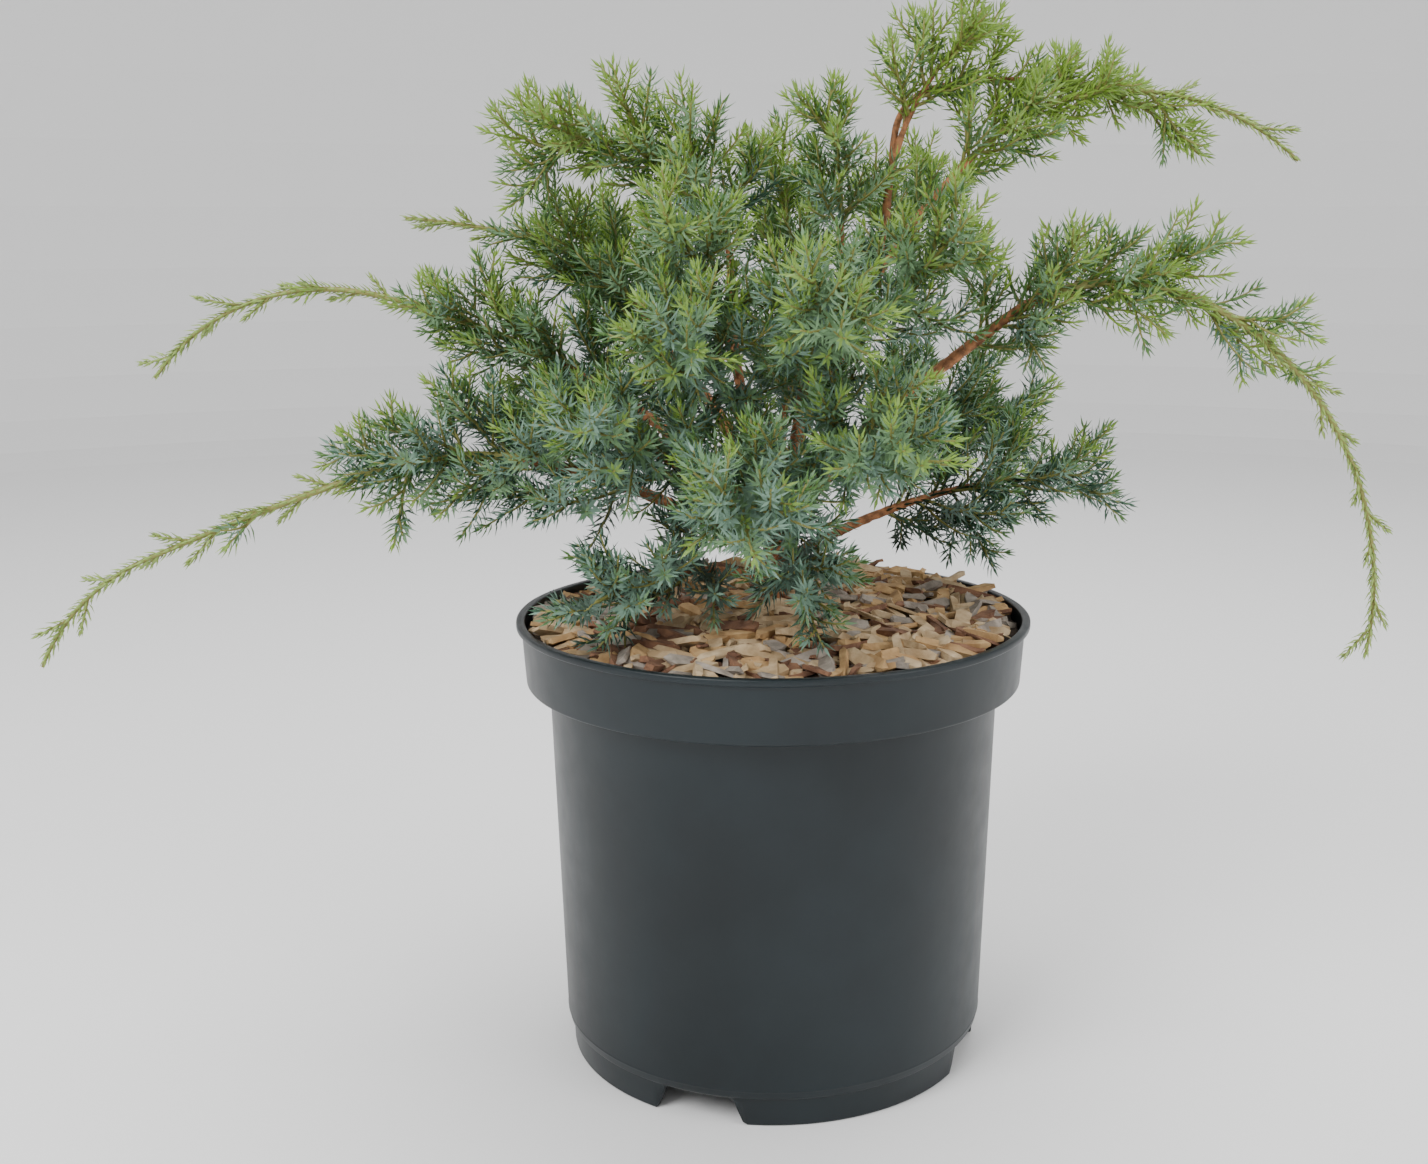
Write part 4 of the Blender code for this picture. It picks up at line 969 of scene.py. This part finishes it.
class JUNIPER_OT_plant(bpy.types.Operator):
    """Grow the limbs with their bark, the green twigs and the needles"""

    bl_idname = "juniper.plant"
    bl_label = "Plant"

    def execute(self, context):
        """Builds the bark mesh, the twig mesh and the needle pieces of each colour."""
        looks = context.scene.juniper_looks
        plant = Plant(looks)
        plant.grow()
        bark = np.array(looks.bark_colour)
        wood = grained("limb_bark", *(bark * share for share in BARK_SHADES), *BARK_GRAIN)
        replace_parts(plant.wood.make("limbs", [wood], "juniper_bark"), *nodes_named("stem", "bough_"))
        green = plain("green_stem", np.array(looks.young) * GREEN_TINT, GREEN_ROUGHNESS)
        plant.twigs.make("twig_stems", [wood, green], "juniper_bark")
        masses = nodes_named("foliage_", "whip_")
        for kind in NEEDLE_KINDS:
            for piece in self.needle_pieces(kind, plant.needles[kind], looks):
                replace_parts(piece, *masses)
        return {"FINISHED"}

    def needle_pieces(self, kind, rows, looks):
        """The needles of one colour, in as many pieces as keep each under the most triangles."""
        if not rows:
            return []
        rows = np.vstack(rows)
        colour = np.array(getattr(looks, kind))
        wax = colour * WAX_KEEPS + WAX * WAX_SHARES.get(kind, LEAST_WAX)
        skins = [
            plain(f"needle_{kind}", colour, NEEDLE_ROUGHNESS),
            plain(f"needle_{kind}_wax", wax, WAX_ROUGHNESS),
        ]
        row_slot = "whip_shoots" if kind == "young" else "juniper_needles"
        count = math.ceil(len(rows) * NEEDLE_TRIANGLES / MOST_TRIANGLES)
        made = []
        for number, share in enumerate(np.array_split(rows, count)):
            surface = Surface()
            surface.add(*needle_surface(share, looks.needle_width))
            made.append(surface.make(f"needles_{kind}_{number}", skins, row_slot, smooth=False))
        return made


class JUNIPER_OT_stage(bpy.types.Operator):
    """Set the pale floor and wall, the soft lights and the camera"""

    bl_idname = "juniper.stage"
    bl_label = "Stage"

    def execute(self, context):
        """Builds a round bowl of floor and wall, three soft lights, a pale sky and the camera."""
        scene = context.scene
        bend = [
            (FLOOR_RADIUS + BEND_RADIUS * math.sin(turn), BEND_RADIUS - BEND_RADIUS * math.cos(turn))
            for turn in np.linspace(0, math.pi / 2, BEND_RINGS)
        ]
        profile = [(0.0, FLOOR_HEIGHT), (FLOOR_RING, FLOOR_HEIGHT), *bend, (WALL_RADIUS, WALL_HEIGHT)]
        turns = np.linspace(0, 2 * math.pi, BOWL_COLUMNS + 1)[:-1]
        points = [(radius * math.cos(turn), radius * math.sin(turn), height)
                  for radius, height in profile for turn in turns]
        faces = np.stack(lattice(len(profile), BOWL_COLUMNS), -1).reshape(-1, 4).tolist()
        mesh = bpy.data.meshes.new("bowl")
        mesh.from_pydata(points, [], faces)
        mesh.materials.append(plain("floor", scene.juniper_looks.floor_colour, FLOOR_ROUGHNESS))
        bowl = bpy.data.objects.new("bowl", mesh)
        scene.collection.objects.link(bowl)
        for name, place, size, power in LAMPS:
            lamp = bpy.data.lights.new(name, "AREA")
            lamp.shape, lamp.size, lamp.energy = "DISK", size, power
            made = bpy.data.objects.new(name, lamp)
            made.location = place
            aim = unit(LAMP_AIM - np.array(place))
            made.rotation_euler = (math.acos(-aim[2]), 0.0, math.atan2(aim[1], aim[0]) - math.pi / 2)
            scene.collection.objects.link(made)
        world = bpy.data.worlds.new("sky")
        world.use_nodes = True
        background = world.node_tree.nodes["Background"]
        background.inputs["Color"].default_value = (1.0, 1.0, 1.0, 1.0)
        background.inputs["Strength"].default_value = SKY_STRENGTH
        scene.world = world
        lens = bpy.data.cameras.new("camera")
        lens.lens, lens.sensor_width, lens.shift_x = CAMERA_LENS, CAMERA_SENSOR, CAMERA_SHIFT
        lens.sensor_fit = "HORIZONTAL"
        camera = bpy.data.objects.new("camera", lens)
        camera.location = CAMERA_PLACE
        camera.rotation_euler = (math.radians(CAMERA_TILT), 0.0, 0.0)
        scene.collection.objects.link(camera)
        scene.camera = camera
        return {"FINISHED"}


class JUNIPER_PT_panel(bpy.types.Panel):
    """The juniper's sizes, colours and pieces"""

    bl_idname = "JUNIPER_PT_panel"
    bl_label = "Potted juniper"
    bl_space_type = "VIEW_3D"
    bl_region_type = "UI"
    bl_category = "Juniper"

    def draw(self, context):
        """Lists the properties, then the operators."""
        for name in JuniperLooks.__annotations__:
            self.layout.prop(context.scene.juniper_looks, name)
        for operator in OPERATORS:
            self.layout.operator(operator.bl_idname)


OPERATORS = (JUNIPER_OT_pot, JUNIPER_OT_compost, JUNIPER_OT_plant, JUNIPER_OT_stage)


def register():
    """Adds the properties, the operators and the panel."""
    for made in (JuniperLooks, *OPERATORS, JUNIPER_PT_panel):
        bpy.utils.register_class(made)
    bpy.types.Scene.juniper_looks = bpy.props.PointerProperty(type=JuniperLooks)


def unregister():
    """Takes them away."""
    del bpy.types.Scene.juniper_looks
    for made in (JUNIPER_PT_panel, *reversed(OPERATORS), JuniperLooks):
        bpy.utils.unregister_class(made)


def main():
    """Builds every piece and the stage."""
    register()
    bpy.ops.juniper.pot()
    bpy.ops.juniper.compost()
    bpy.ops.juniper.plant()
    bpy.ops.juniper.stage()


if __name__ == "__main__":
    main()
